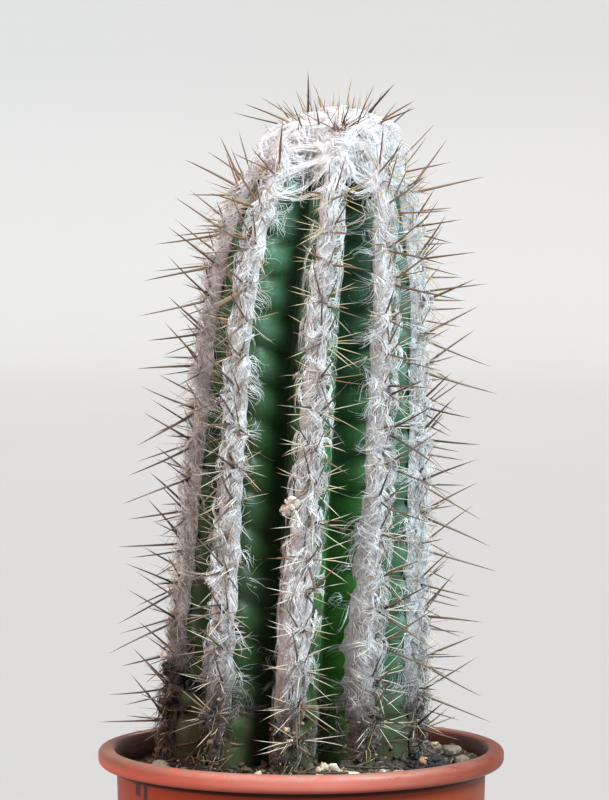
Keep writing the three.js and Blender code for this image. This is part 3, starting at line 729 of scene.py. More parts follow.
def make_pebbles():
    """The larger pebbles, half sunk in a ring round the stem: dark at the sides and palest in front."""
    places, sizes = [], []
    for i in range(PEBBLES):
        turn = i * GOLDEN_ANGLE
        radius = PEBBLE_RING_RADIUS + spread(i, 0, 0, 4, PEBBLE_RING_SPREAD)
        size = PEBBLE_RADIUS * (1 + spread(i, 0, 0, 5, PEBBLE_RADIUS_SPREAD))
        x, y = radius * sin(turn), -radius * cos(turn)
        half_height = PEBBLE_FLATNESS * size
        height = min(soil_height(x, y) + half_height / 4, PEBBLE_TOP - half_height)
        places.append((x, y, POT_HEIGHT + height))
        sizes.append(size)
    places = np.array(places)
    x, y = places[:, 0], places[:, 1]
    tones = np.random.default_rng(34).random(PEBBLES)
    tones[x < -0.025] *= 0.3
    tones[(x > 0.03) & (y < 0.015)] *= 0.25
    tones[(abs(x - 0.012) < 0.006) & (y < 0)] = 1.0
    return make_stones("soil_pebbles", places, sizes, tones, 31, 0.13, PEBBLE_FLATNESS, 3)


def make_soil_material():
    """Compost, nearly black to brown by its lumps and darkest where its bump is lowest, with paler fibres."""
    material, tree, shader = new_material("potting soil", Roughness=0.95)
    lumps = grain(tree, 420, 6)
    fibres = grain(tree, 700, 3, (1, 0.25, 1))
    earth = tinted(tree, ramp(tree, lumps, *COMPOST), COMPOST_FIBRE, between(tree, fibres, 0.62, 0.72))
    tree.links.new(earth, shader.inputs["Base Color"])
    roughen(tree, shader, lumps, distance=0.0006, strength=0.8)
    return material


def make_stone_material(name, *stops, worn_colour=WORN_GRIT, worn_from=0.35):
    """Weathered grit, each stone with its own colour from the stops given."""
    material, tree, shader = new_material(name, Roughness=0.8)
    fine = grain(tree, 1600, 4)
    own = ramp(tree, value_of(tree, "shade"), *stops)
    worn = tinted(tree, own, worn_colour, between(tree, fine, worn_from, 0.8))
    tree.links.new(worn, shader.inputs["Base Color"])
    roughen(tree, shader, fine, distance=0.0003, strength=0.7)
    return material


def make_crumbs():
    """A mesh of fine crumbs and a mesh of coarser ones, strewn over the soil."""
    draws = np.random.default_rng(21)
    turn = draws.uniform(0, 2 * pi, CRUMBS)
    radius = mix(STEM_RADIUS * 0.72, COLLAR_RADIUS - 0.003, draws.random(CRUMBS) ** 0.8)
    x, y = radius * np.sin(turn) + LEAN_AT_RIM * 0.5, -radius * np.cos(turn)
    sizes = CRUMB_SIZE + CRUMB_SIZE_SPREAD * draws.random(CRUMBS) ** 5
    places = np.stack([x, y, POT_HEIGHT + soil_height(x, y) + 0.3 * sizes], axis=1)
    tones = np.random.default_rng(35).random(CRUMBS)
    tones[y < -0.034] **= 0.75
    tones[(x > 0.026) & (y < 0.010)] *= 0.75
    order = np.argsort(sizes)
    kinds = (("soil_fines", order[:FINE_CRUMBS], 1), ("soil_crumbs", order[FINE_CRUMBS:], 2))
    return [
        make_stones(name, places[own], sizes[own], tones[own], 32, 0.42, PEBBLE_FLATNESS, subdivisions)
        for name, own, subdivisions in kinds
    ]


def lie_on_soil(place, height):
    """A point on the soil, or a little above it."""
    return np.array([*place, POT_HEIGHT + float(soil_height(*place)) + height])


def make_chunks():
    """The larger bits of grit and bark, with a heap of black clods on the right."""
    draws = np.random.default_rng(22)
    places = [lie_on_soil(chunk[:2], 0.35 * chunk[2]) for chunk in CHUNKS]
    sizes, tones = (list(part) for part in np.array(CHUNKS)[:, 2:].T)
    for _ in range(HEAPED_CLODS):
        off = draws.normal(0, CLOD_HEAP_SPREAD)
        off[1] = max(off[1], CLOD_HEAP_FRONT)
        size = CLOD_SIZE + CLOD_SIZE_SPREAD * draws.random() ** 1.5
        height = HEAP_HEIGHT * np.exp(-((off / CLOD_HEAP_REACH) ** 2).sum()) * draws.random()
        places.append(lie_on_soil(np.add(CLOD_HEAP, off), height + 0.4 * size))
        sizes.append(size)
        tones.append(0.06 * draws.random() if draws.random() < DARK_CLOD_SHARE else PALE_CLOD_TONE)
    return make_stones("soil_chunks", places, sizes, tones, 33, 0.5, PEBBLE_FLATNESS)


clod_finish = make_stone_material("clods and bark", *CLOD_TONES, worn_colour=WORN_CLOD, worn_from=0.45)
crumb_finish = make_stone_material("crumbs", *CRUMB_TONES)
place_piece(make_soil_mesh(), make_soil_material(), "potting_soil", "soil")
place_piece(make_pebbles(), make_stone_material("pebbles", *PEBBLE_TONES), "potting_soil", "soil")
for crumbs in make_crumbs():
    place_piece(crumbs, crumb_finish, "potting_soil", "soil")
place_piece(make_chunks(), clod_finish, "potting_soil", "soil")

# Wool bands: each areole grows soft white wool, and along a rib it hangs together as a shaggy band. A felted
# mat lies over the crest, and locks of fine fibres are combed down over it from each areole.
WOOL_HALF_WIDTH = 0.0053
WOOL_WIDEST_SHARE = 0.62
WOOL_FRINGE = 1.2
TUFT_DEPTH = 0.0037
TUFT_GAP_DEPTH = 0.0028
TUFT_DROP = 0.00135
# Added breadth of each rib's wool low down.
LOW_BREADTHS = (0.3, 0.5, 1.6, 0.35, 0.3, 0.4, 0.3, 0.5, 0.3)
LOW_LENGTH = 0.08
SLIP_HEIGHTS = (0.03, 0.08, 0.12, 0.155)
# How far the middle of each rib's wool hangs to the right of its crest, at the foot and midway.
FOOT_SLIPS = (0.0, -0.0014, -0.0032, -0.0028, 0.0, -0.001, 0.0008, -0.0012, 0.0006)
MIDDLE_SLIPS = (0.0, -0.0014, -0.0010, -0.0006, 0.0, -0.0008, 0.0005, -0.001, 0.0006)
MAT_STEPS_ACROSS = 12
MAT_ROW_STEP = 0.0011
MAT_FOOT = 0.0
MAT_TOP = 0.180
MAT_WIDTH_SHARE = 0.71
MAT_WIDTH_SHARE_AT_TOP = 0.52
NARROWING_START = 0.06
NARROWING_LENGTH = 0.08
EDGE_WANDER = 0.10
EDGE_WANDER_LENGTH = 0.0085
# Height, distance apart and seed of the coarse and the fine lumps.
MAT_LUMPS = ((0.0006, 0.0026, 42), (0.00025, 0.0012, 43))
WORN_LENGTH = 0.018
WORN_SHARE = 0.25
THINNEST_WOOL = 0.0001
SPINE_SPOT_WIDTH = 0.0014
SPINE_SPOT_HEIGHT = 0.0017
SPINE_SPOT_HOLLOW = 0.0007
LOCKS_PER_AREOLE = 14
FIBRES_PER_LOCK = 9
FIBRE_POINTS = 6
FIBRE_SIDES = 3
FIBRE_RADIUS = 0.00009
FIBRE_SINK = 0.0009
LEAST_FIBRE_STAND = 0.0002
LOCK_LENGTHS = (0.0055, 0.0115)
LOCK_LIFTS = (0.0001, 0.0020)
LOCK_SPREAD = 0.00042
LOCK_TIP_SPREAD = 0.00016
STRAY_SHARE = 0.24
LEAST_REACH = 0.95
MOST_REACH = 2.0
REACH_ON_RIGHT = 1.22
LOWEST_WOOL = -0.0025
FRAYED_LENGTH = 0.022
BARE_LENGTH = 0.014
BARE_SHARE = 0.6
WAVINESS = 0.45
TOUSLE_START = 0.125
TOUSLE_LENGTH = 0.045
STRAND_SWING = 0.009
DIRT_RISE_ON_LEFT = 0.014
# Where each change of the wool starts and where it is full, as a place or a height.
DIRT_RISE_LEFT = (-0.008, -0.036)
PATCHY_DIRT = (POT_HEIGHT + 0.036, POT_HEIGHT + 0.010)
CLOSED_DIRT = (POT_HEIGHT + 0.021, POT_HEIGHT + 0.010)
DULL_RIGHT = (0.010, 0.018)
DULL_HEIGHTS = (POT_HEIGHT + 0.100, POT_HEIGHT + 0.040)
YOUNG_HEIGHTS = (POT_HEIGHT + 0.085, POT_HEIGHT + 0.165)
# Felt tones, dark at their low end as painted shade in the gaps between the locks.
FELT_TONES_WITH_SHADE = ((0.32, (0.16, 0.135, 0.13)), (0.48, (0.42, 0.39, 0.385)), (0.65, (0.72, 0.71, 0.715)))
FIBRE_TONES = ((0.05, (0.42, 0.37, 0.35)), (0.35, (0.82, 0.81, 0.81)), (0.65, (0.99, 0.99, 0.99)))
YOUNG_WOOL = (0.92, 0.91, 0.92)
# Round the spines' roots: partly stained brown, partly painted shade in the hollows.
STAIN_AND_SHADE_BY_SPINES = (0.20, 0.115, 0.07)
DULL_WOOL = (0.36, 0.38, 0.39)
STAINED_WOOL = (0.36, 0.27, 0.21)
DIRTY_WOOL = (0.065, 0.042, 0.027)


def half_widths(rib, height):
    """How far a rib's wool reaches to the left and to the right of its crest."""
    reaches = []
    for hand in (-1, 1):
        valley = crest_radius(height) * half_spacing(rib, hand, height)
        reaches.append(np.minimum(WOOL_WIDEST_SHARE * valley, WOOL_HALF_WIDTH))
    return reaches


def wool_slip(rib, height):
    """Where the middle of a rib's wool hangs, as a place across the crest."""
    middle = MIDDLE_SLIPS[rib]
    return np.interp(height, SLIP_HEIGHTS, (FOOT_SLIPS[rib], middle, middle, 0.0))


def wool_depth(rib, across, height):
    """How far the wool stands off the skin: most at a tuft, less between two, and nothing past its edges."""
    left, right = half_widths(rib, height)
    across = across - wool_slip(rib, height)
    edge = np.abs(across) / np.where(across < 0, left, right)
    tuft = 0.5 + 0.5 * np.cos(2 * pi * areole_phase(rib, height + TUFT_DROP))
    return mix(TUFT_GAP_DEPTH, TUFT_DEPTH, tuft) * (1 - np.minimum(edge / WOOL_FRINGE, 1) ** 3)


def spine_stain(rib, across, height):
    """How brown and dark the wool is round the spots where spines come out of it: partly stained brown,
    partly painted shade in the hollows there.
    """
    above = AREOLE_PITCH * (np.mod(areole_phase(rib, height) + 0.5, 1) - 0.5)
    return np.exp(-((across / SPINE_SPOT_WIDTH) ** 2) - (above / SPINE_SPOT_HEIGHT) ** 2)


def on_rib(rib, across, height, offset):
    """Points at a distance across from a rib's crest, positive to the right, and an offset off the skin."""
    hand = np.where(across < 0, -1, 1)
    spacing = half_spacing(rib, hand, height)
    share = np.abs(across) / np.maximum(crest_radius(height) * spacing, 0.001)
    turn = crest_turn(rib, height) + hand * share * spacing
    return around(turn, rib_radius(share, height) + offset, height)


def make_mat_mesh(rib):
    """The felted mat of one rib: a strap bent over the crest, lumpy and with uneven edges."""
    heights = climb_crest(MAT_FOOT, MAT_TOP, MAT_ROW_STEP)[:, None]
    edge = np.linspace(-1, 1, MAT_STEPS_ACROSS + 1)
    left, right = half_widths(rib, heights)
    tuft = 0.5 + 0.5 * np.cos(2 * pi * areole_phase(rib, heights + TUFT_DROP))
    along = np.concatenate([heights, heights * 0 + rib, heights * 0], axis=1)
    wander = [ripples(along, EDGE_WANDER_LENGTH, seed) for seed in (41, 44)]
    uneven = EDGE_WANDER * np.stack(wander, axis=1)
    narrowing = np.clip((heights - NARROWING_START) / NARROWING_LENGTH, 0, 1)
    width = mix(MAT_WIDTH_SHARE, MAT_WIDTH_SHARE_AT_TOP, narrowing)
    width = width * (0.94 + 0.08 * tuft + np.where(edge < 0, uneven[:, :1], uneven[:, 1:]))
    worn = np.clip((heights - MAT_FOOT) / WORN_LENGTH, 0, 1)
    broad = 1 + 0.6 * LOW_BREADTHS[rib] * np.clip(1 - heights / LOW_LENGTH, 0, 1)
    width = width * broad * mix(WORN_SHARE, 1, worn)
    across = np.where(edge < 0, edge * left, edge * right) * width + wool_slip(rib, heights)
    depth = wool_depth(rib, across, heights) * (1 - 0.8 * np.abs(edge) ** 3)
    top = on_rib(rib, across, heights, CLEARANCE + depth)
    combed = top * [1, 1, 0.4]
    lumps = sum(height * ripples(combed, apart, seed) for height, apart, seed in MAT_LUMPS)
    hollow = SPINE_SPOT_HOLLOW * spine_stain(rib, across, heights)
    depth = np.maximum(depth + (lumps - hollow) * (1 - np.abs(edge) ** 3), THINNEST_WOOL)
    depth = mix(WORN_SHARE, 1, worn) * depth
    top = on_rib(rib, across, heights, CLEARANCE + depth)
    under = on_rib(rib, across, heights, CLEARANCE)[:, ::-3]
    rings = np.concatenate([top, under], axis=1)
    points, faces = skin_over(rings, rings[0].mean(axis=0), rings[-1].mean(axis=0))
    stain = np.pad(spine_stain(rib, across, heights), ((0, 0), (0, under.shape[1])))
    return make_mesh(f"wool_mat_{rib + 1}", points, faces, stain=np.pad(stain.ravel(), 1))


def per_tube(values, steps, sides):
    """A value of each tube, or of each step along it, on all of its points."""
    values = np.broadcast_to(values if values.ndim == 2 else values[:, None], (len(values), steps))
    return np.concatenate([np.repeat(values[:, :-1], sides, axis=1), values[:, -1:]], axis=1).ravel()


def make_tubes(name, lines, radii, sides, **values):
    """A mesh of closed tubes along lines, each drawn to a point at its end, with a value for each tube."""
    count, steps = lines.shape[:2]
    along = np.gradient(lines, axis=1)
    along /= np.linalg.norm(along, axis=2, keepdims=True)
    upright = np.abs(along[:, :1, 2:]) > 0.8
    across = np.cross(along, np.where(upright, (1.0, 0.0, 0.0), (0.0, 0.0, 1.0)))
    across /= np.linalg.norm(across, axis=2, keepdims=True)
    other = np.cross(along, across)
    angle = 2 * pi * np.arange(sides) / sides
    ring = across[:, :, None] * np.cos(angle)[:, None] + other[:, :, None] * np.sin(angle)[:, None]
    rings = lines[:, :-1, None] + radii[:, :-1, None, None] * ring[:, :-1]
    points = np.concatenate([rings.reshape(count, -1, 3), lines[:, -1:]], axis=1)
    corner = np.arange((steps - 1) * sides).reshape(steps - 1, sides)
    after = np.roll(corner, -1, axis=1)
    quads = np.stack([corner[:-1], after[:-1], after[1:], corner[1:]], axis=-1).reshape(-1, 4)
    tip = np.stack([np.full(sides, corner.size), corner[-1], after[-1]], axis=1)
    root = corner[0][::-1][None]
    starts = points.shape[1] * np.arange(count)[:, None, None]
    faces = [(block + starts).reshape(-1, block.shape[1]) for block in (quads, tip, root)]
    on_points = {value_name: per_tube(value, steps, sides) for value_name, value in values.items()}
    return make_mesh(name, points.reshape(-1, 3), faces, **on_points)


def lock_thickness(share):
    """How far the fibres of a lock lie apart, at shares of the way from its root to its tip."""
    return LOCK_TIP_SPREAD + LOCK_SPREAD * np.sin(pi * share**0.7)


def fibre_radii(draws, count, share, thickness):
    """Radii along wool fibres, each a little finer or thicker than the next and drawn to a point."""
    return FIBRE_RADIUS * draws.uniform(0.6, 1.25, (count, 1)) * thickness * np.sqrt(1.02 - share)


def comb(aim, curl, wave, length, steps):
    """Ways to the right and down along fibres that start at an aim from straight down, curl and wave."""
    share = (np.arange(steps - 1) + 0.5) / (steps - 1)
    heading = aim[:, None] + curl[:, None] * share + WAVINESS * np.sin(2 * pi * (0.9 * share + wave[:, None]))
    stride = length[:, None] / (steps - 1)
    nothing = np.zeros((len(aim), 1))
    right = np.concatenate([nothing, np.cumsum(stride * np.sin(heading), axis=1)], axis=1)
    down = np.concatenate([nothing, np.cumsum(stride * np.cos(heading), axis=1)], axis=1)
    return right, down


def make_fibre_mesh(rib):
    """The combed fibres of one rib, in locks that start at its areoles."""
    draws = np.random.default_rng(500 + rib)
    lock_height = np.repeat(areole_heights(rib), LOCKS_PER_AREOLE)
    lock_height = lock_height + AREOLE_PITCH * draws.uniform(-0.5, 0.5, len(lock_height))
    lost = BARE_SHARE * np.clip(1 - lock_height / BARE_LENGTH, 0, 1)
    lock_height = lock_height[draws.random(len(lock_height)) >= lost]
    locks = len(lock_height)
    tousle = np.clip((lock_height - TOUSLE_START) / TOUSLE_LENGTH, 0, 1)
    tousle = tousle + np.clip(1 - lock_height / FRAYED_LENGTH, 0, 1)
    broad = 1 + LOW_BREADTHS[rib] * np.clip(1 - lock_height / LOW_LENGTH, 0, 1)
    lock_across = WOOL_HALF_WIDTH * broad * draws.uniform(-1.05, 1.02, locks)
    lock_across = lock_across * (1 - 0.2 * np.minimum(tousle, 1))
    aim = draws.normal(0.05, 0.55 + 0.35 * tousle) + 60 * lock_across
    curl = draws.normal(0, 0.9 + 0.6 * tousle) - 0.9 * aim
    length = draws.uniform(*LOCK_LENGTHS, locks) * (1 + 0.3 * tousle)
    lift = draws.uniform(*LOCK_LIFTS, locks)
    wave = draws.random(locks)
    own_reach = broad * draws.uniform(LEAST_REACH, MOST_REACH, locks)

    def each(value):
        return np.repeat(value, FIBRES_PER_LOCK)

    fibres = locks * FIBRES_PER_LOCK
    stray = draws.random(fibres) < STRAY_SHARE * (1 + each(tousle))
    share = np.linspace(0, 1, FIBRE_POINTS)
    right, down = comb(
        np.where(stray, draws.normal(0.7, 1.2, fibres), each(aim) + draws.normal(0, 0.09, fibres)),
        np.where(stray, draws.normal(0, 4.0, fibres), each(curl) + draws.normal(0, 0.22, fibres)),
        each(wave) + draws.normal(0, 0.05, fibres),
        each(length) * draws.uniform(0.75, 1.05, fibres) * np.where(stray, 0.7, 1),
        FIBRE_POINTS,
    )
    thickness = lock_thickness(share)
    loose = draws.normal(0, 1, (2, fibres, 1)) * thickness
    across = each(lock_across)[:, None] + right + loose[0]
    height = np.maximum(each(lock_height)[:, None] - down + loose[1], LOWEST_WOOL)
    left, right = half_widths(rib, height)
    reach = np.where(across < 0, left, REACH_ON_RIGHT * right) * each(own_reach)[:, None]
    held = reach * np.tanh(across / reach)
    across = np.where(stray[:, None], across, held) + wool_slip(rib, height)
    hover = np.abs(draws.normal(0, 1.4, (fibres, 1))) * thickness
    hover = hover + each(lift)[:, None] * np.sin(pi * share**0.8)
    sunk = FIBRE_SINK * np.clip(1 - 5 * share, 0, 1)
    stand = CLEARANCE + wool_depth(rib, across, height) + hover - sunk
    stain = spine_stain(rib, across, height) * draws.uniform(0, 1, (fibres, 1))
    lines = on_rib(rib, across, height, np.maximum(stand, LEAST_FIBRE_STAND))
    radii = fibre_radii(draws, fibres, share, np.where(stray, 0.5, 1)[:, None])
    shade = np.clip(each(draws.normal(0.60, 0.30, locks)) + draws.normal(0, 0.12, fibres), 0, 1)
    return make_tubes(f"wool_fibres_{rib + 1}", lines, radii, FIBRE_SIDES, shade=shade, stain=stain)


def wandering_strands(tree):
    """Noise drawn out into fine upright strands that wander to both sides."""
    place = add(tree, "TexCoord").outputs["Object"]
    swing = add(tree, "TexNoise", ("Vector", place), ("Scale", 110), ("Detail", 2.0)).outputs["Color"]
    swing = add(tree, "VectorMath", (0, swing), (1, (0.5, 0.5, 0.5)), operation="SUBTRACT").outputs[0]
    swing = add(tree, "VectorMath", (0, swing), ("Scale", STRAND_SWING), operation="SCALE").outputs[0]
    place = add(tree, "VectorMath", (0, place), (1, swing), operation="ADD").outputs[0]
    place = add(tree, "Mapping", ("Vector", place), ("Scale", (1, 1, 0.13))).outputs["Vector"]
    return add(tree, "TexNoise", ("Vector", place), ("Scale", 2700), ("Detail", 3.0)).outputs["Fac"]


def make_wool_material(name, felted, brightness=1.0, evenness=0.0):
    """White to greyish wool, browner near the soil. Felted wool has its fibres in its relief and tone, and
    darker tones as painted shade between the locks.
    """
    material, tree, shader = new_material(name, Roughness=0.6, Sheen_Weight=0.6, Sheen_Roughness=0.4)
    patches = grain(tree, 140, 4)
    along_x, height = place_value(tree, "X"), place_value(tree, "Z")
    tone, tones = (wandering_strands(tree), FELT_TONES_WITH_SHADE) if felted else (value_of(tree, "shade"), FIBRE_TONES)
    lightest = np.array(tones[-1][1])
    stops = [(place, brightness * mix(np.array(colour), lightest, evenness)) for place, colour in tones]
    young = between(tree, height, *YOUNG_HEIGHTS)
    wool = tinted(tree, ramp(tree, tone, *stops), YOUNG_WOOL, young, 0.45)
    wool = tinted(tree, wool, STAIN_AND_SHADE_BY_SPINES, value_of(tree, "stain"), 0.85)
    low = between(tree, height, *DULL_HEIGHTS)
    wool = tinted(tree, wool, DULL_WOOL, between(tree, along_x, *DULL_RIGHT), low, 0.35)
    wool = tinted(tree, wool, STAINED_WOOL, between(tree, patches, 0.5, 0.75), 0.3)
    raised = product(tree, between(tree, along_x, *DIRT_RISE_LEFT), DIRT_RISE_ON_LEFT)
    height = maths(tree, "SUBTRACT", height, raised)
    dirt = product(tree, between(tree, height, *PATCHY_DIRT), between(tree, patches, 0.25, 0.5))
    dirt = maths(tree, "MAXIMUM", dirt, between(tree, height, *CLOSED_DIRT))
    tree.links.new(tinted(tree, wool, DIRTY_WOOL, dirt), shader.inputs["Base Color"])
    if felted:
        roughen(tree, shader, tone, distance=0.0008, strength=1.0)
    return material


felt = make_wool_material("felted wool", True)
loose_wool = make_wool_material("loose wool", False)
for rib in range(RIBS):
    place_piece(make_mat_mesh(rib), felt, "wool_and_spines", f"fleece_rib_{rib + 1}")
    place_piece(make_fibre_mesh(rib), loose_wool, "wool_and_spines", f"fleece_rib_{rib + 1}")

# Spines: stiff tapered needles that grow from each areole, a few long brown ones standing out, and thinner
# straw-coloured ones spread to both sides over the valleys. Their roots are sunk in the wool.
# Length of each kind, and its rise and turn to the side in degrees. Kinds with a turn of 0 are left out at
# every even areole, and kinds with a turn of 1 at every odd one.
LONG_SPINES = (
    {"length": 0.0175, "rise": -18, "rise_at_top": 6, "side": 0, "side_spread": 24},
    {"length": 0.015, "rise": 32, "rise_at_top": 38, "side": 0, "side_spread": 34},
)
BROWN_SPINES = (
    {"length": 0.0150, "rise": -8, "side": -44, "turn": 0},
    {"length": 0.0150, "rise": -6, "side": 44, "turn": 1},
    {"length": 0.0120, "rise": 52, "side": 12},
)
SHORT_SPINES = (
    {"length": 0.0095, "rise": 12, "side": -70},
    {"length": 0.0095, "rise": 14, "side": 70},
    {"length": 0.009, "rise": -24, "side": -74, "turn": 1},
    {"length": 0.009, "rise": -26, "side": 74, "turn": 0},
)
FINE_SPINES = (
    {"length": 0.0125, "rise": -5, "side": -66},
    {"length": 0.0125, "rise": -3, "side": 66},
    {"length": 0.0115, "rise": 26, "side": -58},
    {"length": 0.0115, "rise": 24, "side": 58},
    {"length": 0.0125, "rise": -30, "side": -56},
    {"length": 0.0125, "rise": -28, "side": 56},
    {"length": 0.0120, "rise": 8, "side": 26},
    {"length": 0.0110, "rise": -38, "side": -18},
)
RISE_SHARPNESS = 6
LONG_SPREAD = {"length": 0.2, "rise": 16}
SHORT_SPREAD = {"length": 0.28, "rise": 15, "side": 11}
FINE_SPREAD = {"length": 0.3, "rise": 19, "side": 17}
LONG_LENGTH_SHARE = 1.22
SHORT_LENGTH_SHARE = 1.32
LONG_SPINE_RADIUS = 0.00040
SHORT_SPINE_RADIUS = 0.00020
SPINE_SINK = 0.0016
SPINE_ROOT_DEPTH = 0.0018
SLOPE_STEP = 0.001
AREOLE_HALF_WIDTH = 0.0011
AREOLE_HALF_HEIGHT = 0.0016
LOWEST_SPINE_TIP = 0.003
WEDGE_SHARE = 1.15
TURN_OUT_SHARE = 0.85
TURN_UP_STEP = 0.12
MOST_TURNS = 12
SPINE_POINTS = 5
SPINE_SIDES = 4
LONG_SPINE_BEND = 0.01
SHORT_SPINE_BEND = 0.028
STRAW = (
    (0.12, (0.24, 0.15, 0.10)), (0.35, (0.60, 0.51, 0.38)), (0.75, (0.72, 0.65, 0.48)),
    (1.0, (0.24, 0.15, 0.09)),
)
YOUNG_STRAW = (0.46, 0.30, 0.09)
BROWN_STRAW = (0.28, 0.13, 0.06)
OLD_SPINE = (
    (0.15, (0.022, 0.015, 0.013)), (0.4, (0.15, 0.085, 0.050)), (0.7, (0.19, 0.135, 0.095)),
    (1.0, (0.028, 0.022, 0.022)),
)
GREY_SPINE = (0.050, 0.044, 0.045)
AMBER_SPINE = ((0.2, (0.30, 0.15, 0.045)), (0.6, (0.22, 0.10, 0.035)), (0.95, (0.03, 0.018, 0.015)))
YOUNG_SPINE = ((0.1, (0.42, 0.24, 0.08)), (0.55, (0.26, 0.11, 0.035)), (0.9, (0.06, 0.025, 0.017)))
DARKEST_SPINE = (0.035, 0.022, 0.018)
WORN_SPINE = (0.50, 0.42, 0.36)
AMBER_HEIGHTS = (POT_HEIGHT + 0.10, POT_HEIGHT + 0.17)


def crest_axes(rib, height):
    """Outward, sideways and upward directions at a rib's crest."""
    turn = crest_turn(rib, height)
    slope = (crest_radius(height + SLOPE_STEP) - crest_radius(height - SLOPE_STEP)) / (2 * SLOPE_STEP)
    outward = np.array([sin(turn), -cos(turn), -slope])
    outward /= np.linalg.norm(outward)
    sideways = np.array([cos(turn), sin(turn), 0])
    return outward, sideways, np.cross(outward, sideways)


def spine_tip(rib, root, axes, length, rise_degrees, side_degrees):
    """Tip of a spine, turned outward until it stays in its rib's wedge and up until it clears the rim."""
    outward, sideways, up = axes
    rise, side = radians(rise_degrees), radians(side_degrees)
    for _ in range(MOST_TURNS):
        level = length * cos(rise)
        tip = root + level * cos(side) * outward + level * sin(side) * sideways + length * sin(rise) * up
        height = tip[2] - POT_HEIGHT
        turn = atan2(tip[0] - lean(height), -tip[1]) - crest_turn(rib, height)
        off = atan2(sin(turn), cos(turn))
        in_wedge = abs(off) < WEDGE_SHARE * half_spacing(rib, -1 if off < 0 else 1, height)
        clear = height > LOWEST_SPINE_TIP
        if in_wedge and clear:
            break
        side *= 1 if in_wedge else TURN_OUT_SHARE
        rise += 0 if clear else TURN_UP_STEP
    return tip


def areole_spines(rib, areole, height):
    """Root, tip, radius and darkness of each spine of one areole."""
    axes = crest_axes(rib, height)
    climb = min(1, height / BAND_TOP) ** RISE_SHARPNESS
    short = [kind for kind in SHORT_SPINES if kind.get("turn") != areole % 2]
    brown = [kind for kind in BROWN_SPINES if kind.get("turn") != areole % 2]
    groups = (
        (LONG_SPINES, LONG_SPREAD, LONG_LENGTH_SHARE, LONG_SPINE_RADIUS, 1.0),
        (short, SHORT_SPREAD, SHORT_LENGTH_SHARE, SHORT_SPINE_RADIUS, 0.0),
        (FINE_SPINES, FINE_SPREAD, 1.0, SHORT_SPINE_RADIUS * 0.9, 0.0),
        (brown, FINE_SPREAD, 1.0, LONG_SPINE_RADIUS * 0.8, 1.0),
    )
    number = 0
    spines = []
    for kinds, spreads, share, radius, darkness in groups:
        for kind in kinds:
            length = share * kind["length"] * (1 + spread(rib, areole, number, 1, spreads["length"]))
            level = mix(kind["rise"], kind.get("rise_at_top", kind["rise"]), climb)
            rise = level + spread(rib, areole, number, 2, spreads["rise"])
            side = kind["side"] + spread(rib, areole, number, 3, kind.get("side_spread", spreads.get("side")))
            across = spread(rib, areole, number, 5, AREOLE_HALF_WIDTH)
            above = spread(rib, areole, number, 6, AREOLE_HALF_HEIGHT)
            root = on_rib(rib, across, height + above, CLEARANCE + SPINE_ROOT_DEPTH)
            spines.append((root, spine_tip(rib, root, axes, length, rise, side), radius, darkness))
            number += 1
    return spines


def make_spine_mesh(name, spines, seed):
    """Needles from roots to tips, sunk at the root and bowed a little."""
    draws = np.random.default_rng(seed)
    roots, tips, radius, darkness = (np.array(part) for part in zip(*spines))
    way = tips - roots
    length = np.linalg.norm(way, axis=1, keepdims=True)
    way /= length
    roots = roots - SPINE_SINK * way
    share = np.linspace(0, 1, SPINE_POINTS) ** 0.85
    bend = np.where(darkness > 0.5, LONG_SPINE_BEND, SHORT_SPINE_BEND)[:, None]
    bow = np.cross(way, draws.normal(size=way.shape)) * length * bend
    lines = roots[:, None] + (tips - roots)[:, None] * share[:, None]
    lines = lines + bow[:, None] * np.sin(pi * share)[:, None]
    radii = radius[:, None] * (1 - 0.78 * share**1.4) * draws.uniform(0.85, 1.15, (len(spines), 1))
    along = np.broadcast_to(share, radii.shape)
    shade = draws.random(len(spines))
    return make_tubes(name, lines, radii, SPINE_SIDES, along=along, darkness=darkness, shade=shade)


def make_spine_material(name, young):
    """Horny spines: straw-coloured ones, and brown ones with a dark root and tip. Young ones are amber."""
    material, tree, shader = new_material(name, Roughness=0.42)
    along = value_of(tree, "along")
    shade = value_of(tree, "shade")
    darkness = value_of(tree, "darkness")
    youth = between(tree, place_value(tree, "Z"), *AMBER_HEIGHTS)
    straw = tinted(tree, ramp(tree, along, *STRAW), YOUNG_STRAW, youth, 0.75)
    straw = tinted(tree, straw, BROWN_STRAW, between(tree, shade, 0.75, 0.95))
    if young:
        dark = ramp(tree, along, *YOUNG_SPINE)
    else:
        dark = tinted(tree, ramp(tree, along, *OLD_SPINE), GREY_SPINE, between(tree, shade, 0.25, 0.85))
        dark = tinted(tree, dark, ramp(tree, along, *AMBER_SPINE), youth, 0.6)
    horn = tinted(tree, straw, dark, darkness)
    horn = tinted(tree, horn, DARKEST_SPINE, between(tree, darkness, 1.0, 1.6))
    horn = tinted(tree, horn, WORN_SPINE, between(tree, grain(tree, 1800, 2), 0.55, 0.75), 0.3)
    tree.links.new(horn, shader.inputs["Base Color"])
    return material


spine_finish = make_spine_material("spines", False)
for rib in range(RIBS):
    spines = [
        spine
        for areole, height in enumerate(areole_heights(rib))
        for spine in areole_spines(rib, areole, height)
    ]
    needles = make_spine_mesh(f"spines_rib_{rib + 1}", spines, 700 + rib)
    place_piece(needles, spine_finish, "wool_and_spines", f"fleece_rib_{rib + 1}")

# Crown: the youngest areoles, whose wool closes over the top of the stem in thick white locks. Young amber
# spines stand up through it, two longer ones rise well above it, and a short tuft marks the growing point.
# Places on it are a turn from the front, in degrees, and a walk out and down from the middle, in metres.
CROWN_EDGE = 0.1754
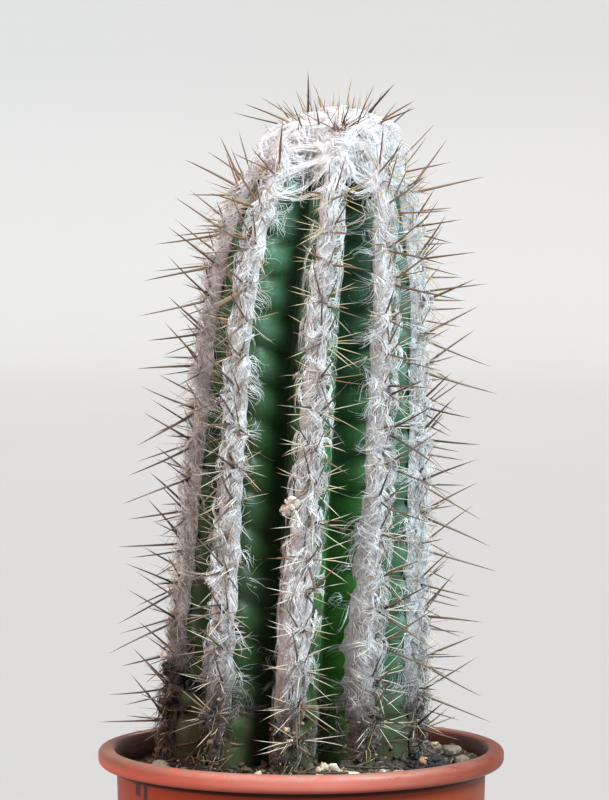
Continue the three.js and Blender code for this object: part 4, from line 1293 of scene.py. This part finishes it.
# How far out from the crown's edge and above it the wool stands, from the edge inward.
CROWN_OUTLINE = (
    (0.0028, 0.0006), (0.0018, 0.004), (-0.0012, 0.0076), (-0.005, 0.0106), (-0.0095, 0.0125),
    (-0.013, 0.0137),
)
CROWN_OUTLINE_POINTS = 40
CROWN_WOOL = 0.0026
CROWN_SIDES = 180
CROWN_ROWS = 40
CROWN_MIDDLE = 0.0006
CROWN_TUCK = 0.001
# Height, distance apart and seed of the coarse and the fine lumps.
CROWN_LUMPS = ((0.0009, 0.006, 51), (0.0004, 0.0024, 52))
CROWN_LUMP_SINK = 0.0007
CROWN_LUMP_FADE = 0.002
CROWN_FOLD_WALK = 0.0165
CROWN_FOLD_LENGTH = 0.0085
CROWN_DIP = 0.007
CROWN_WEB = 0.0012
CROWN_SETTLE = 0.0016
CROWN_SETTLE_RADIUS = 0.028
CROWN_TOP_RADIUS = 0.018
LEAST_TURN_RADIUS = 0.006
DRAPE_STEP = 0.004
CROWN_NOTCH = 0.009
# The crown's felt is a lighter, more even copy of the bands' felt: painted light over the shade between its
# locks.
CROWN_FELT_PAINTED_LIGHT = np.array((1.27, 1.20, 1.17))
# The crown's wool is a slightly dimmer, pinker copy of the loose wool: painted shade against the strong light
# on the crown, with painted warm light.
CROWN_WOOL_PAINTED_SHADE = np.array((0.98, 0.92, 0.90))
LOW_LOCK_START = 0.014
CROWN_LOCKS = 480
CROWN_FIBRES_PER_LOCK = 8
CROWN_FIBRE_POINTS = 7
CROWN_FIBRE_SINK = 0.0012
CROWN_LOCK_START = 0.001
CROWN_LOCK_START_SPREAD = 0.025
CROWN_LOCK_LENGTHS = (0.006, 0.014)
CROWN_LOCK_LIFT = 0.0002
CROWN_LOCK_LIFT_SPREAD = 0.0030
WHORL = (7, 0.0242)
WHORL_LOCKS = 46
WHORL_SPREAD = 0.001
SWEEPS = (
    ((10, 0.0080), (34, 0.0140), (43, 0.0230), (41, 0.034), (44, 0.048)),
    ((7, 0.0235), (26, 0.0215), (38, 0.0250), (43, 0.033)),
    ((6, 0.0250), (-8, 0.0262), (-26, 0.0285), (-42, 0.0385)),
    ((5, 0.0240), (-12, 0.0225), (-32, 0.0235), (-46, 0.032)),
    ((7, 0.0250), (9, 0.0300), (5, 0.0370), (7, 0.046)),
    ((6, 0.0240), (-8, 0.0190), (-26, 0.0130), (-60, 0.010)),
    ((8, 0.0240), (20, 0.0170), (44, 0.0120), (90, 0.010)),
    ((-34, 0.012), (-46, 0.0150), (-60, 0.0220), (-70, 0.030)),
    ((20, 0.026), (28, 0.0310), (38, 0.0350), (46, 0.044)),
    ((-44, 0.0330), (-30, 0.0360), (-14, 0.0365), (4, 0.0335)),
    ((-40, 0.0390), (-28, 0.0350), (-16, 0.0330), (-6, 0.0290)),
    ((8, 0.0330), (20, 0.0350), (32, 0.0345), (44, 0.0330)),
)
SWEEP_POINTS = 10
SWEEP_FIBRES = 30
WISPS = 3
WISP_FIBRES = 11
SWEEP_SAG = 0.35
SWEEP_WAVE = 0.0004
SWEEP_WAVES = 1.7
SWEEP_WIDTH = 0.0006
SWEEP_LIFT = 0.0009
SWEEP_GAP = 0.0003
CROWN_ROOT_DEPTH = 0.0003
CROWN_ROOT_DROP = 0.007
CROWN_ROOT_INSET = 0.001
CROWN_SPINE_LENGTH = 0.008
CROWN_LENGTH_SHARES = (0.35, 1.3)
CROWN_SPINE_TILT = 8
CROWN_SPINE_TILT_AT_EDGE = 50
OLDER_SPINES = {"count": 30, "crowding": 0.5, "way_spread": 0.1, "tilt_spread": 12, "radius": 0.00021}
YOUNGER_SPINES = {"count": 46, "crowding": 0.6, "way_spread": 1.2, "tilt_spread": 36, "radius": 0.00015}
# Root and tip of each, with heights above the rim.
TALL_SPINES = (
    ((0.002, -0.004, 0.187), (0.002, -0.005, 0.1996)),
    ((0.0188, -0.003, 0.1858), (0.0275, -0.005, 0.1958)),
)
RIM_LIFT = (0, 0, POT_HEIGHT)
CROWN_RIM_SPINES = 16
CROWN_RIM_SPINE_LENGTH = 0.0135
CROWN_RIM_SPINE_RADIUS = 0.8 * LONG_SPINE_RADIUS
CROWN_RIM_SHARE = 0.88
CROWN_RIM_SHARE_SPREAD = 0.10
CROWN_RIM_TILT = 58
CROWN_RIM_TILT_SPREAD = 22
POINT = (3, 0.0185)
POINT_SPREAD = 0.0012
POINT_SPINES = 20
POINT_SPINE_LENGTHS = (0.0045, 0.0080)
POINT_SPINE_RADIUS = 0.00024

crown_edge = crest_radius(CROWN_EDGE) + CLEARANCE


def smoothed(outline, count):
    """An outline with many points, each turn in it rounded."""
    outline = np.array(outline)
    walked = np.concatenate([[0], np.cumsum(np.linalg.norm(np.diff(outline, axis=0), axis=1))])
    fine = np.linspace(0, walked[-1], count)
    reach = walked[-1] / len(outline) / 2
    middle = [np.interp(fine + shift, walked, outline[:, i]) for i in (0, 1) for shift in (-reach, 0, reach)]
    rounded = np.stack([np.mean(middle[:3], axis=0), np.mean(middle[3:], axis=0)], axis=1)
    rounded[[0, -1]] = outline[[0, -1]]
    return rounded


cap_corners = [(crown_edge + out, CROWN_EDGE + above) for out, above in CROWN_OUTLINE]
crown_outline = smoothed([(0.0, STEM_TOP + CROWN_WOOL)] + cap_corners[::-1], CROWN_OUTLINE_POINTS)
crown_walk = np.concatenate([[0], np.cumsum(np.linalg.norm(np.diff(crown_outline, axis=0), axis=1))])


def valley_share(turn, height):
    """Share of the way from the nearest crest to the valley beside it, for turns round the stem."""
    crests = np.stack([crest_turn(rib, height) for rib in range(RIBS + 1)], axis=-1)
    turn = crests[..., 0] + np.mod(turn - crests[..., 0], 2 * pi)
    after = np.clip((turn[..., None] >= crests).sum(axis=-1), 1, RIBS)
    left = np.take_along_axis(crests, after[..., None] - 1, axis=-1)[..., 0]
    right = np.take_along_axis(crests, after[..., None], axis=-1)[..., 0]
    return 1 - np.abs(2 * (turn - left) / (right - left) - 1)


def crown_surface(turn, walk, sag=1.0):
    """Distance from the middle and height on the crown's wool, a walk out and down from the growing point."""
    distance = np.interp(walk, crown_walk, crown_outline[:, 0])
    settled = CROWN_SETTLE * np.clip(1 - distance / CROWN_SETTLE_RADIUS, 0, 1)
    height = np.interp(walk, crown_walk, crown_outline[:, 1]) - settled
    valley = valley_share(turn, height)
    low = np.clip((walk - CROWN_FOLD_WALK) / CROWN_FOLD_LENGTH, 0, 1)
    dipped = height - sag * CROWN_DIP * low**2 * valley
    skin = rib_radius(valley, dipped) + CLEARANCE + CROWN_WEB
    fold = sag * low * np.clip(1.4 * valley - 0.2, 0, 1)
    return mix(distance, np.minimum(skin, distance), fold), dipped


def make_crown_mesh():
    """The felted cap over the stem's top, swelling where it meets each rib's band and drawn in between."""
    turn = np.linspace(0, 2 * pi, CROWN_SIDES, endpoint=False)
    side = np.minimum(1, 1.2 * (1 - np.cos(turn - radians(WHORL[0]))))
    lowest = crown_walk[-1] - CROWN_NOTCH * side * valley_share(turn, np.full_like(turn, CROWN_EDGE)) ** 2
    walk = mix(lowest, CROWN_MIDDLE, np.linspace(0, 1, CROWN_ROWS)[:, None])
    turn = np.broadcast_to(turn, walk.shape)
    distance, height = crown_surface(turn, walk)
    points = around(turn, distance, height)
    lumps = sum(size * ripples(points, apart, seed) for size, apart, seed in CROWN_LUMPS) - CROWN_LUMP_SINK
    outside = np.clip((lowest - walk) / CROWN_LUMP_FADE, 0, 1)
    top = around(turn, distance + outside * lumps, height + 0.5 * outside * lumps)
    tuck = np.array([0.0, 0.5, 1.0])[:, None]
    under_height = mix(STEM_TOP - CROWN_TUCK, height[0], tuck)
    under_share = valley_share(np.broadcast_to(turn[0], under_height.shape), under_height)
    skin = rib_radius(under_share, under_height) + CLEARANCE
    under = around(turn[0], np.minimum(skin, distance[0]), under_height)
    first = (lean(STEM_TOP), 0, POT_HEIGHT + STEM_TOP + CLEARANCE)
    last = (lean(STEM_TOP + CROWN_WOOL), 0, POT_HEIGHT + STEM_TOP + CROWN_WOOL)
    return make_mesh("crown_mat", *skin_over(np.concatenate([under, top]), first, last))


def crown_fibre_lines(turn, walk, right, hover, sag):
    """Lines over the crown's wool, by walks down from the middle and ways to the right of a turn."""
    walk = np.abs(walk)
    turn_radius = np.maximum(np.interp(walk, crown_walk, crown_outline[:, 0]), LEAST_TURN_RADIUS)
    bearing = turn + right / turn_radius
    past = np.maximum(walk - crown_walk[-1], 0)
    distance, height = crown_surface(bearing, np.minimum(walk, crown_walk[-1]), sag)
    upward = np.clip(1 - distance / CROWN_TOP_RADIUS, 0, 1)
    slope = (crest_radius(height - DRAPE_STEP) - crest_radius(height)) / DRAPE_STEP
    height = height + 0.6 * hover * upward - past
    return around(bearing, distance + hover * (1 - upward) + past * slope, height)


def make_crown_fibres():
    """Long locks that wind outward from the crown's middle and down over the top ends of the bands."""
    draws = np.random.default_rng(61)
    turn = draws.uniform(0, 2 * pi, CROWN_LOCKS)
    start = CROWN_LOCK_START + CROWN_LOCK_START_SPREAD * draws.random(CROWN_LOCKS) ** 0.6
    swirl = draws.normal(0, 1.1, CROWN_LOCKS)
    curl = draws.normal(0, 2.0, CROWN_LOCKS)
    wave = draws.random(CROWN_LOCKS)
    length = draws.uniform(*CROWN_LOCK_LENGTHS, CROWN_LOCKS)
    lift = CROWN_LOCK_LIFT + CROWN_LOCK_LIFT_SPREAD * draws.random(CROWN_LOCKS) ** 3

    def each(value):
        return np.repeat(value, CROWN_FIBRES_PER_LOCK)

    over_crest = crest_turn(np.arange(CROWN_LOCKS) % RIBS, CROWN_EDGE) + draws.normal(0, 0.11, CROWN_LOCKS)
    in_front = np.cos(turn - radians(WHORL[0])) > 0.72
    turn = np.where((start > LOW_LOCK_START) & ~in_front, over_crest, turn)
    in_whorl = np.arange(CROWN_LOCKS) < WHORL_LOCKS
    turn = np.where(in_whorl, radians(WHORL[0]) + draws.normal(0, 0.07, CROWN_LOCKS), turn)
    start = np.where(in_whorl, WHORL[1] + draws.normal(0, WHORL_SPREAD, CROWN_LOCKS), start)
    swirl = np.where(in_whorl, draws.uniform(-pi, pi, CROWN_LOCKS), swirl)
    length = np.where(in_whorl, 0.65 * length, length)
    fibres = CROWN_LOCKS * CROWN_FIBRES_PER_LOCK
    share = np.linspace(0, 1, CROWN_FIBRE_POINTS)
    right, down = comb(
        each(swirl) + draws.normal(0, 0.08, fibres),
        each(curl) + draws.normal(0, 0.25, fibres),
        each(wave) + draws.normal(0, 0.05, fibres),
        each(length) * draws.uniform(0.75, 1.1, fibres),
        CROWN_FIBRE_POINTS,
    )
    thickness = lock_thickness(share)
    loose = draws.normal(0, 1.2, (2, fibres, 1)) * thickness
    hover = np.abs(draws.normal(0, 1.4, (fibres, 1))) * thickness + each(lift)[:, None] * np.sin(pi * share)
    hover = hover - CROWN_FIBRE_SINK * (1 - share) ** 6
    walk = each(start)[:, None] + down + loose[1]
    sag = each(draws.uniform(0.4, 1.0, CROWN_LOCKS))[:, None]
    lines = crown_fibre_lines(each(turn)[:, None], walk, right + loose[0], hover, sag)
    radii = fibre_radii(draws, fibres, share, 1.05)
    lock_shade = draws.normal(0.68, 0.30, CROWN_LOCKS) + 0.5 * in_whorl
    shade = np.clip(each(lock_shade) + draws.normal(0, 0.12, fibres), 0, 1)
    return make_tubes("crown_fibres", lines, radii, FIBRE_SIDES, shade=shade)


def make_sweeping_locks():
    """The thick smooth locks that sweep out from the youngest tuft, just in front of the growing point."""
    draws = np.random.default_rng(62)
    share = np.linspace(0, 1, SWEEP_POINTS)
    blocks, shades = [], []
    for number, sweep in enumerate(SWEEPS):
        fibres = SWEEP_FIBRES if number < len(SWEEPS) - WISPS else WISP_FIBRES
        turns, walks = np.array(sweep).T
        places = np.linspace(0, 1, len(sweep))
        turn = np.radians(np.polyval(np.polyfit(places, turns, len(sweep) - 1), share))
        walk = np.polyval(np.polyfit(places, walks, len(sweep) - 1), share)
        width = SWEEP_WIDTH * (0.35 + np.sin(pi * share**0.8))
        loose = draws.normal(0, 1, (2, fibres, 1)) * width
        slip = draws.normal(0, 0.03, (fibres, 1))
        phase = draws.uniform(0, 2 * pi, (2, fibres, 1))
        loose = loose + SWEEP_WAVE * np.sin(SWEEP_WAVES * 2 * pi * share + phase)
        hover = SWEEP_LIFT * np.sin(pi * share) * draws.uniform(0.5, 1.3, (fibres, 1)) + SWEEP_GAP
        blocks.append(crown_fibre_lines(turn + slip, walk + 0.7 * loose[1], loose[0], hover, SWEEP_SAG))
        shades.append(np.clip(draws.normal(0.92, 0.1, fibres), 0, 1))
    lines = np.concatenate(blocks)
    radii = fibre_radii(draws, len(lines), share, 1.1)
    return make_tubes("crown_locks", lines, radii, FIBRE_SIDES, shade=np.concatenate(shades))


def leaning_out(way, tilt):
    """Direction that leans out by a tilt from upright, a way round the stem."""
    return np.array([sin(way) * sin(tilt), -cos(way) * sin(tilt), cos(tilt)])


def crown_root(turn, share):
    """Root of a crown spine, at a share of the way from the middle to the edge."""
    height = STEM_TOP + CROWN_WOOL - CROWN_ROOT_DEPTH - CROWN_ROOT_DROP * share**3
    return around(turn, share * (crown_edge - CROWN_ROOT_INSET), height)


def rim_spines():
    """A ring of long spines that lean out at the crown's edge."""
    for i in range(CROWN_RIM_SPINES):
        turn = (i + 0.5 + spread(RIBS, i, 1, 1, 0.35)) * 2 * pi / CROWN_RIM_SPINES
        root = crown_root(turn, CROWN_RIM_SHARE + spread(RIBS, i, 1, 2, CROWN_RIM_SHARE_SPREAD))
        tilt = radians(CROWN_RIM_TILT + spread(RIBS, i, 1, 3, CROWN_RIM_TILT_SPREAD))
        way = turn + spread(RIBS, i, 1, 4, 0.5)
        length = CROWN_RIM_SPINE_LENGTH * (1 + spread(RIBS, i, 1, 5, 0.3))
        yield root, root + length * leaning_out(way, tilt), CROWN_RIM_SPINE_RADIUS, 1 + draw(RIBS, i, 1, 6)


def point_spines():
    """The short tuft that leans forward at the growing point."""
    draws = np.random.default_rng(63)
    for _ in range(POINT_SPINES):
        turn = radians(POINT[0]) + draws.normal(0, 0.10)
        distance, height = crown_surface(turn, POINT[1] + draws.normal(0, POINT_SPREAD))
        root = around(turn, distance - CROWN_ROOT_DEPTH, height)
        aim = np.array([draws.normal(0.1, 0.5), -0.8 + draws.normal(0, 0.2), 0.7])
        yield root, root + draws.uniform(*POINT_SPINE_LENGTHS) * aim, POINT_SPINE_RADIUS, 1.0


def standing_spines(first, count, crowding, way_spread, tilt_spread, radius, dark_from):
    """Spines all over the crown, upright in its middle and leaning out toward its edge."""
    for i in range(first, first + count):
        share = ((i - first + 0.5) / count) ** crowding
        root = crown_root(i * GOLDEN_ANGLE, share)
        level = mix(CROWN_SPINE_TILT, CROWN_SPINE_TILT_AT_EDGE, share)
        tilt = radians(level + spread(RIBS, i, 0, 2, tilt_spread))
        way = i * GOLDEN_ANGLE + spread(RIBS, i, 0, 3, way_spread)
        length = CROWN_SPINE_LENGTH * mix(*CROWN_LENGTH_SHARES, draw(RIBS, i, 0, 1) ** 2)
        yield root, root + length * leaning_out(way, tilt), radius, float(share >= dark_from)


def tall_spines():
    """The two that rise well above the others."""
    for root, tip in TALL_SPINES:
        yield np.add(root, RIM_LIFT), np.add(tip, RIM_LIFT), LONG_SPINE_RADIUS, 2.0


spines = [
    *tall_spines(),
    *rim_spines(),
    *point_spines(),
    *standing_spines(0, dark_from=0.0, **OLDER_SPINES),
    *standing_spines(OLDER_SPINES["count"], dark_from=0.5, **YOUNGER_SPINES),
]
crown_felt = make_wool_material("crown felt", True, CROWN_FELT_PAINTED_LIGHT, 0.75)
crown_wool = make_wool_material("crown wool", False, CROWN_WOOL_PAINTED_SHADE, 0.3)
young_spine_finish = make_spine_material("young spines", True)
place_piece(make_crown_mesh(), crown_felt, "wool_and_spines", "crown_fleece")
place_piece(make_crown_fibres(), crown_wool, "wool_and_spines", "crown_fleece")
place_piece(make_sweeping_locks(), crown_wool, "wool_and_spines", "crown_fleece")
needles = make_spine_mesh("crown_spines", spines, 710)
place_piece(needles, young_spine_finish, "wool_and_spines", "crown_fleece")

# Loose bits: soil and grit thrown up among the lowest spines, clods and small stones caught low in the wool,
# dead roots and straws, and a chip of pale bark on the front rib. They only lie in the wool or on the soil.
DIRT_CRUMBS = 620
DIRT_SIZE = 0.0003
DIRT_SIZE_SPREAD = 0.0008
DIRT_FOOT = -0.002
DIRT_REACH = 0.020
DIRT_SPREAD_ACROSS = 0.0035
PALEST_DIRT = 0.7
FOOT_STRAWS = 360
STRAW_POINTS = 5
STRAW_SIDES = 4
STRAW_RADII = (0.00008, 0.00024)
STRAW_LENGTHS = (0.003, 0.010)
MOST_STRAW_RISE = 0.0022
STRAW_FOOT = 0.001
STRAW_REACH = 0.020
LOWEST_STRAW = -0.003
CLOD_LUMPS = 6
CLOD_SCATTER = 0.42
CLOD_STAND = 0.2
SMALL_STONE_LUMPS = 2
SMALL_STONE_SCATTER = 0.18
LOOSE_FLATNESS = 0.8
# Rib, place across it, height, size and tone of each clod. A small stone has one more number, which says how
# far it stands out, as a share of its size.
CAUGHT_BITS = (
    (0, 0.0028, 0.0278, 0.0027, 1.0, 0.7),
    (0, 0.0010, 0.0240, 0.0022, 0.1),
    (0, 0.0050, 0.0220, 0.0026, 0.0),
    (0, 0.0075, 0.0195, 0.0027, 0.0),
    (0, 0.0100, 0.0175, 0.0024, 0.05),
    (0, 0.0035, 0.0150, 0.0026, 0.2),
    (0, 0.0060, 0.0125, 0.0020, 0.1),
    (0, 0.0010, 0.0120, 0.0022, 0.3),
    (1, -0.0070, 0.0165, 0.0015, 0.0),
    (1, -0.0030, 0.0130, 0.0015, 0.05),
    (1, 0.0004, 0.0160, 0.0013, 0.0),
    (1, 0.0012, 0.0182, 0.0008, 0.88, 0.8),
    (1, -0.0045, 0.0297, 0.0011, 0.98, 0.2),
    (2, -0.0019, 0.0104, 0.0016, 0.84, 0.7),
    (2, -0.0012, 0.0072, 0.0014, 0.95, 0.5),
    (2, -0.0085, 0.0088, 0.0013, 0.78, 0.7),
    (2, -0.0045, 0.0085, 0.0012, 0.05),
    (2, 0.0020, 0.0075, 0.0011, 0.1),
    (3, -0.0010, 0.0135, 0.0012, 0.1),
    (3, 0.0010, 0.0120, 0.0010, 0.3),
    (3, 0.0036, 0.0140, 0.0010, 1.0),
)
ROOTLETS = 150
ROOTLET_POINTS = 7
ROOTLET_SIDES = 5
ROOTLET_RADII = (0.00008, 0.00026)
ROOTLET_LENGTHS = (0.004, 0.013)
ROOTLET_STANDS = (0.0004, 0.0011)
MOST_ROOTLET_ARCH = 0.0014
ROOTLET_STEM_GAP = 0.001
ROOTLET_WALL_GAP = 0.005
ROOTLET_END_GAP = 0.0035
TWIGS = (((0.0125, -0.0385), (0.0248, -0.0352)), ((0.0135, -0.0440), (0.004, -0.0465)))
TWIG_END_STANDS = (0.0026, 0.0028)
TWIG_RADIUS = 0.0005
CHIP_RIB = 2
CHIP_STAND = 0.0012
# Place across the rib, height and size of each flake.
CHIP_FLAKES = (
    (-0.0044, 0.0756, 0.0015),
    (-0.0058, 0.0748, 0.0016),
    (-0.0048, 0.0738, 0.0013),
    (-0.0064, 0.0734, 0.0017),
    (-0.0078, 0.0730, 0.0015),
    (-0.0090, 0.0722, 0.0013),
    (-0.0070, 0.0716, 0.0012),
)
PALE_BARK = ((0.0, (0.88, 0.82, 0.70)), (1.0, (0.97, 0.93, 0.86)))
# Dark patches on the bark chip: partly its own darker bark, partly painted shade for its crevices.
DARK_BARK_AND_CREVICE_SHADE = (0.26, 0.19, 0.14)
DEAD_ROOT = ((0.05, (0.02, 0.014, 0.010)), (0.5, (0.14, 0.09, 0.05)), (1.0, (0.40, 0.30, 0.18)))


def caught_place(rib, across, height, stand):
    """A point where a bit lies in the wool, standing out of it by a length."""
    return on_rib(rib, across, height, CLEARANCE + wool_depth(rib, across, height) + stand)


def make_clods():
    """The larger bits caught in the wool, each of a few lumps in one tone."""
    draws = np.random.default_rng(87)
    places, sizes, tones = [], [], []
    for rib, across, height, size, tone, *stand in CAUGHT_BITS:
        middle = caught_place(rib, across, height, (stand[0] if stand else CLOD_STAND) * size)
        lumps, scatter = (SMALL_STONE_LUMPS, SMALL_STONE_SCATTER) if stand else (CLOD_LUMPS, CLOD_SCATTER)
        for _ in range(lumps):
            places.append(middle + draws.normal(0, scatter, 3) * size)
            sizes.append(size * draws.uniform(0.4, 0.75))
            tones.append(tone)
    return make_stones("caught_clods", places, sizes, tones, 83, 0.35, LOOSE_FLATNESS)


def make_dirt():
    """The crumbs among the lowest spines."""
    draws = np.random.default_rng(81)
    places, sizes, tones = [], [], []
    for i in range(DIRT_CRUMBS):
        size = DIRT_SIZE + DIRT_SIZE_SPREAD * draws.random() ** 3
        height = DIRT_FOOT + DIRT_REACH * draws.random() ** 1.5
        places.append(caught_place(i % RIBS, draws.normal(0, DIRT_SPREAD_ACROSS), height, 0.2 * size))
        sizes.append(size)
        tones.append(PALEST_DIRT * draws.random() ** 2)
    return make_stones("loose_dirt", places, sizes, tones, 82, 0.4, LOOSE_FLATNESS, 1)


def make_rootlets():
    """Fine dead roots and fallen spines, lying this way and that on the soil, and two twigs."""
    draws = np.random.default_rng(23)
    each = (ROOTLETS, 1)
    turn = draws.uniform(0, 2 * pi, each)
    radius = mix(STEM_RADIUS + ROOTLET_STEM_GAP, COLLAR_RADIUS - ROOTLET_WALL_GAP, draws.random(each))
    way = draws.uniform(0, 2 * pi, each)
    curl = draws.normal(0, 1.1, each)
    stride = draws.uniform(*ROOTLET_LENGTHS, each) / ROOTLET_POINTS
    share = np.linspace(0, 1, ROOTLET_POINTS)
    heading = way + curl * share
    x = radius * np.sin(turn) + np.cumsum(stride * np.sin(heading), axis=1)
    y = -radius * np.cos(turn) + np.cumsum(stride * np.cos(heading), axis=1)
    inside = np.minimum(1, (COLLAR_RADIUS - ROOTLET_END_GAP) / np.hypot(x, y))
    x, y = x * inside, y * inside
    rise = draws.uniform(*ROOTLET_STANDS, each)
    rise = rise + draws.uniform(0, MOST_ROOTLET_ARCH, each) * np.sin(pi * share)
    lines = np.stack([x, y, POT_HEIGHT + soil_height(x, y) + rise], axis=2)
    radii = draws.uniform(*ROOTLET_RADII, each) * (1 - 0.5 * share)
    twigs = [np.linspace(*map(lie_on_soil, ends, TWIG_END_STANDS), ROOTLET_POINTS) for ends in TWIGS]
    twig_radii = np.full((len(TWIGS), 1), TWIG_RADIUS) * (1 - 0.4 * share)
    shades = np.concatenate([draws.random(ROOTLETS), np.zeros(len(TWIGS))])
    lines, radii = np.concatenate([lines, twigs]), np.concatenate([radii, twig_radii])
    return make_tubes("soil_rootlets", lines, radii, ROOTLET_SIDES, shade=shades)


def make_foot_straws():
    """Dead spines and bits of root that hang on the lowest wool."""
    draws = np.random.default_rng(86)
    rib = np.arange(FOOT_STRAWS) % RIBS
    share = np.linspace(0, 1, STRAW_POINTS)
    each = (FOOT_STRAWS, 1)
    aim = draws.normal(0, 1.0, each) + draws.normal(0, 0.8, each) * share
    stride = draws.uniform(*STRAW_LENGTHS, each) / STRAW_POINTS
    across = draws.normal(0, DIRT_SPREAD_ACROSS, each) + np.cumsum(stride * np.sin(aim), axis=1)
    start = STRAW_FOOT + STRAW_REACH * draws.random(each) ** 1.4
    height = np.maximum(start - np.cumsum(stride * np.cos(aim), axis=1), LOWEST_STRAW)
    rise = draws.uniform(0, MOST_STRAW_RISE, each) * (0.4 + share)
    lines = np.stack([caught_place(own, across[i], height[i], rise[i]) for i, own in enumerate(rib)])
    radii = draws.uniform(*STRAW_RADII, each) * (1 - 0.6 * share)
    return make_tubes("foot_straws", lines, radii, STRAW_SIDES, shade=draws.random(FOOT_STRAWS))


def make_chip():
    """The bark chip: a few ragged flakes lying together."""
    places = [
        on_rib(CHIP_RIB, across, height, wool_depth(CHIP_RIB, across, height) + CHIP_STAND)
        for across, height, size in CHIP_FLAKES
    ]
    sizes = [size for across, height, size in CHIP_FLAKES]
    return make_stones("bark_chip", places, sizes, None, 84, 0.5, LOOSE_FLATNESS, 3)


chip_finish = make_stone_material("pale bark", *PALE_BARK, worn_colour=DARK_BARK_AND_CREVICE_SHADE, worn_from=0.47)
root_finish = make_stone_material("dead roots", *DEAD_ROOT)
place_piece(make_dirt(), clod_finish, "potting_soil", "soil")
place_piece(make_clods(), clod_finish, "potting_soil", "soil")
place_piece(make_chip(), chip_finish, "wool_and_spines", f"fleece_rib_{CHIP_RIB + 1}")
place_piece(make_rootlets(), root_finish, "potting_soil", "soil")
place_piece(make_foot_straws(), root_finish, "potting_soil", "soil")

# Studio: a wide pale floor that curves up into a wall all round, a large cool light high on the right and a
# warmer, weaker one on the left. The camera stands 1.3 m away at the crown's height and looks slightly down.
FLOOR_RINGS = (0.2, 1.5)
FLOOR_RADIUS = 3.4
FLOOR_SIDES = 96
COVE_RADIUS = 1.2
COVE_STEPS = 16
WALL_TOP = 1.6
PAPER = ((0.2, (0.406, 0.369, 0.344)), (0.8, (0.419, 0.381, 0.355)))
STANDING_PAPER = (0.330, 0.308, 0.289)
ROOM_COLOUR = (0.95, 0.96, 1.0)
ROOM_STRENGTH = 0.34
CAMERA_DISTANCE = 1.2864
CAMERA_HEIGHT = POT_HEIGHT + 0.1879
CAMERA_PITCH = radians(3.79)
CAMERA_YAW = radians(0.0445)
FOCAL_PIXELS = 4378
FRAME_HEIGHT_PIXELS = 800
SENSOR_SIZE = 36.0
FARTHEST_VIEW = 20

floor_turn = np.linspace(0, 2 * pi, FLOOR_SIDES, endpoint=False)
cove = quarter(FLOOR_RADIUS, COVE_RADIUS, COVE_RADIUS, -90, 0, COVE_STEPS)
flat_part = [[radius, 0.0] for radius in FLOOR_RINGS]
floor_profile = np.concatenate([flat_part, cove, [[FLOOR_RADIUS + COVE_RADIUS, WALL_TOP]]])
floor_rings = ring_points(floor_turn, floor_profile[:, :1], floor_profile[:, 1:])
floor_points, floor_faces = skin_over(floor_rings, (0, 0, 0), (0, 0, WALL_TOP))
floor_mesh = make_mesh("floor", floor_points[:-1], floor_faces[:2])
floor_mesh.flip_normals()
floor_piece = bpy.data.objects.new("floor", floor_mesh)
bpy.context.scene.collection.objects.link(floor_piece)
floor_finish, floor_tree, floor_shader = new_material("pale paper", Roughness=0.9)
normal = add(floor_tree, "NewGeometry").outputs["Normal"]
facing = add(floor_tree, "SeparateXYZ", ("Vector", normal)).outputs["Z"]
paper = ramp(floor_tree, grain(floor_tree, 3, 3), *PAPER)
paper = tinted(floor_tree, paper, STANDING_PAPER, between(floor_tree, facing, 1.0, 0.70))
floor_tree.links.new(paper, floor_shader.inputs["Base Color"])
floor_mesh.materials.append(floor_finish)


def add_light(name, turn, rise, strength, softness, colour):
    """A distant soft light, at a turn from the front and a rise over the floor in degrees."""
    light = bpy.data.lights.new(name, "SUN")
    light.angle = radians(softness)
    light.energy = strength
    light.color = colour
    lamp = bpy.data.objects.new(name, light)
    lamp.rotation_euler = (radians(90 - rise), 0, radians(turn))
    bpy.context.scene.collection.objects.link(lamp)


add_light("key", turn=44, rise=42, strength=6.7, softness=20, colour=(0.76, 0.92, 1.0))
add_light("fill", turn=-60, rise=22, strength=3.1, softness=50, colour=(1.0, 0.71, 0.63))

world = bpy.data.worlds.new("room")
world.use_nodes = True
room = world.node_tree.nodes["Background"]
room.inputs["Color"].default_value = (*ROOM_COLOUR, 1)
room.inputs["Strength"].default_value = ROOM_STRENGTH
bpy.context.scene.world = world
bpy.context.scene.view_settings.view_transform = "Standard"

camera = bpy.data.objects.new("camera", bpy.data.cameras.new("camera"))
camera.data.sensor_width = SENSOR_SIZE
camera.data.lens = FOCAL_PIXELS * SENSOR_SIZE / FRAME_HEIGHT_PIXELS
camera.data.clip_end = FARTHEST_VIEW
camera.location = (0, -CAMERA_DISTANCE, CAMERA_HEIGHT)
camera.rotation_euler = (pi / 2 - CAMERA_PITCH, 0, -CAMERA_YAW)
bpy.context.scene.collection.objects.link(camera)
bpy.context.scene.camera = camera
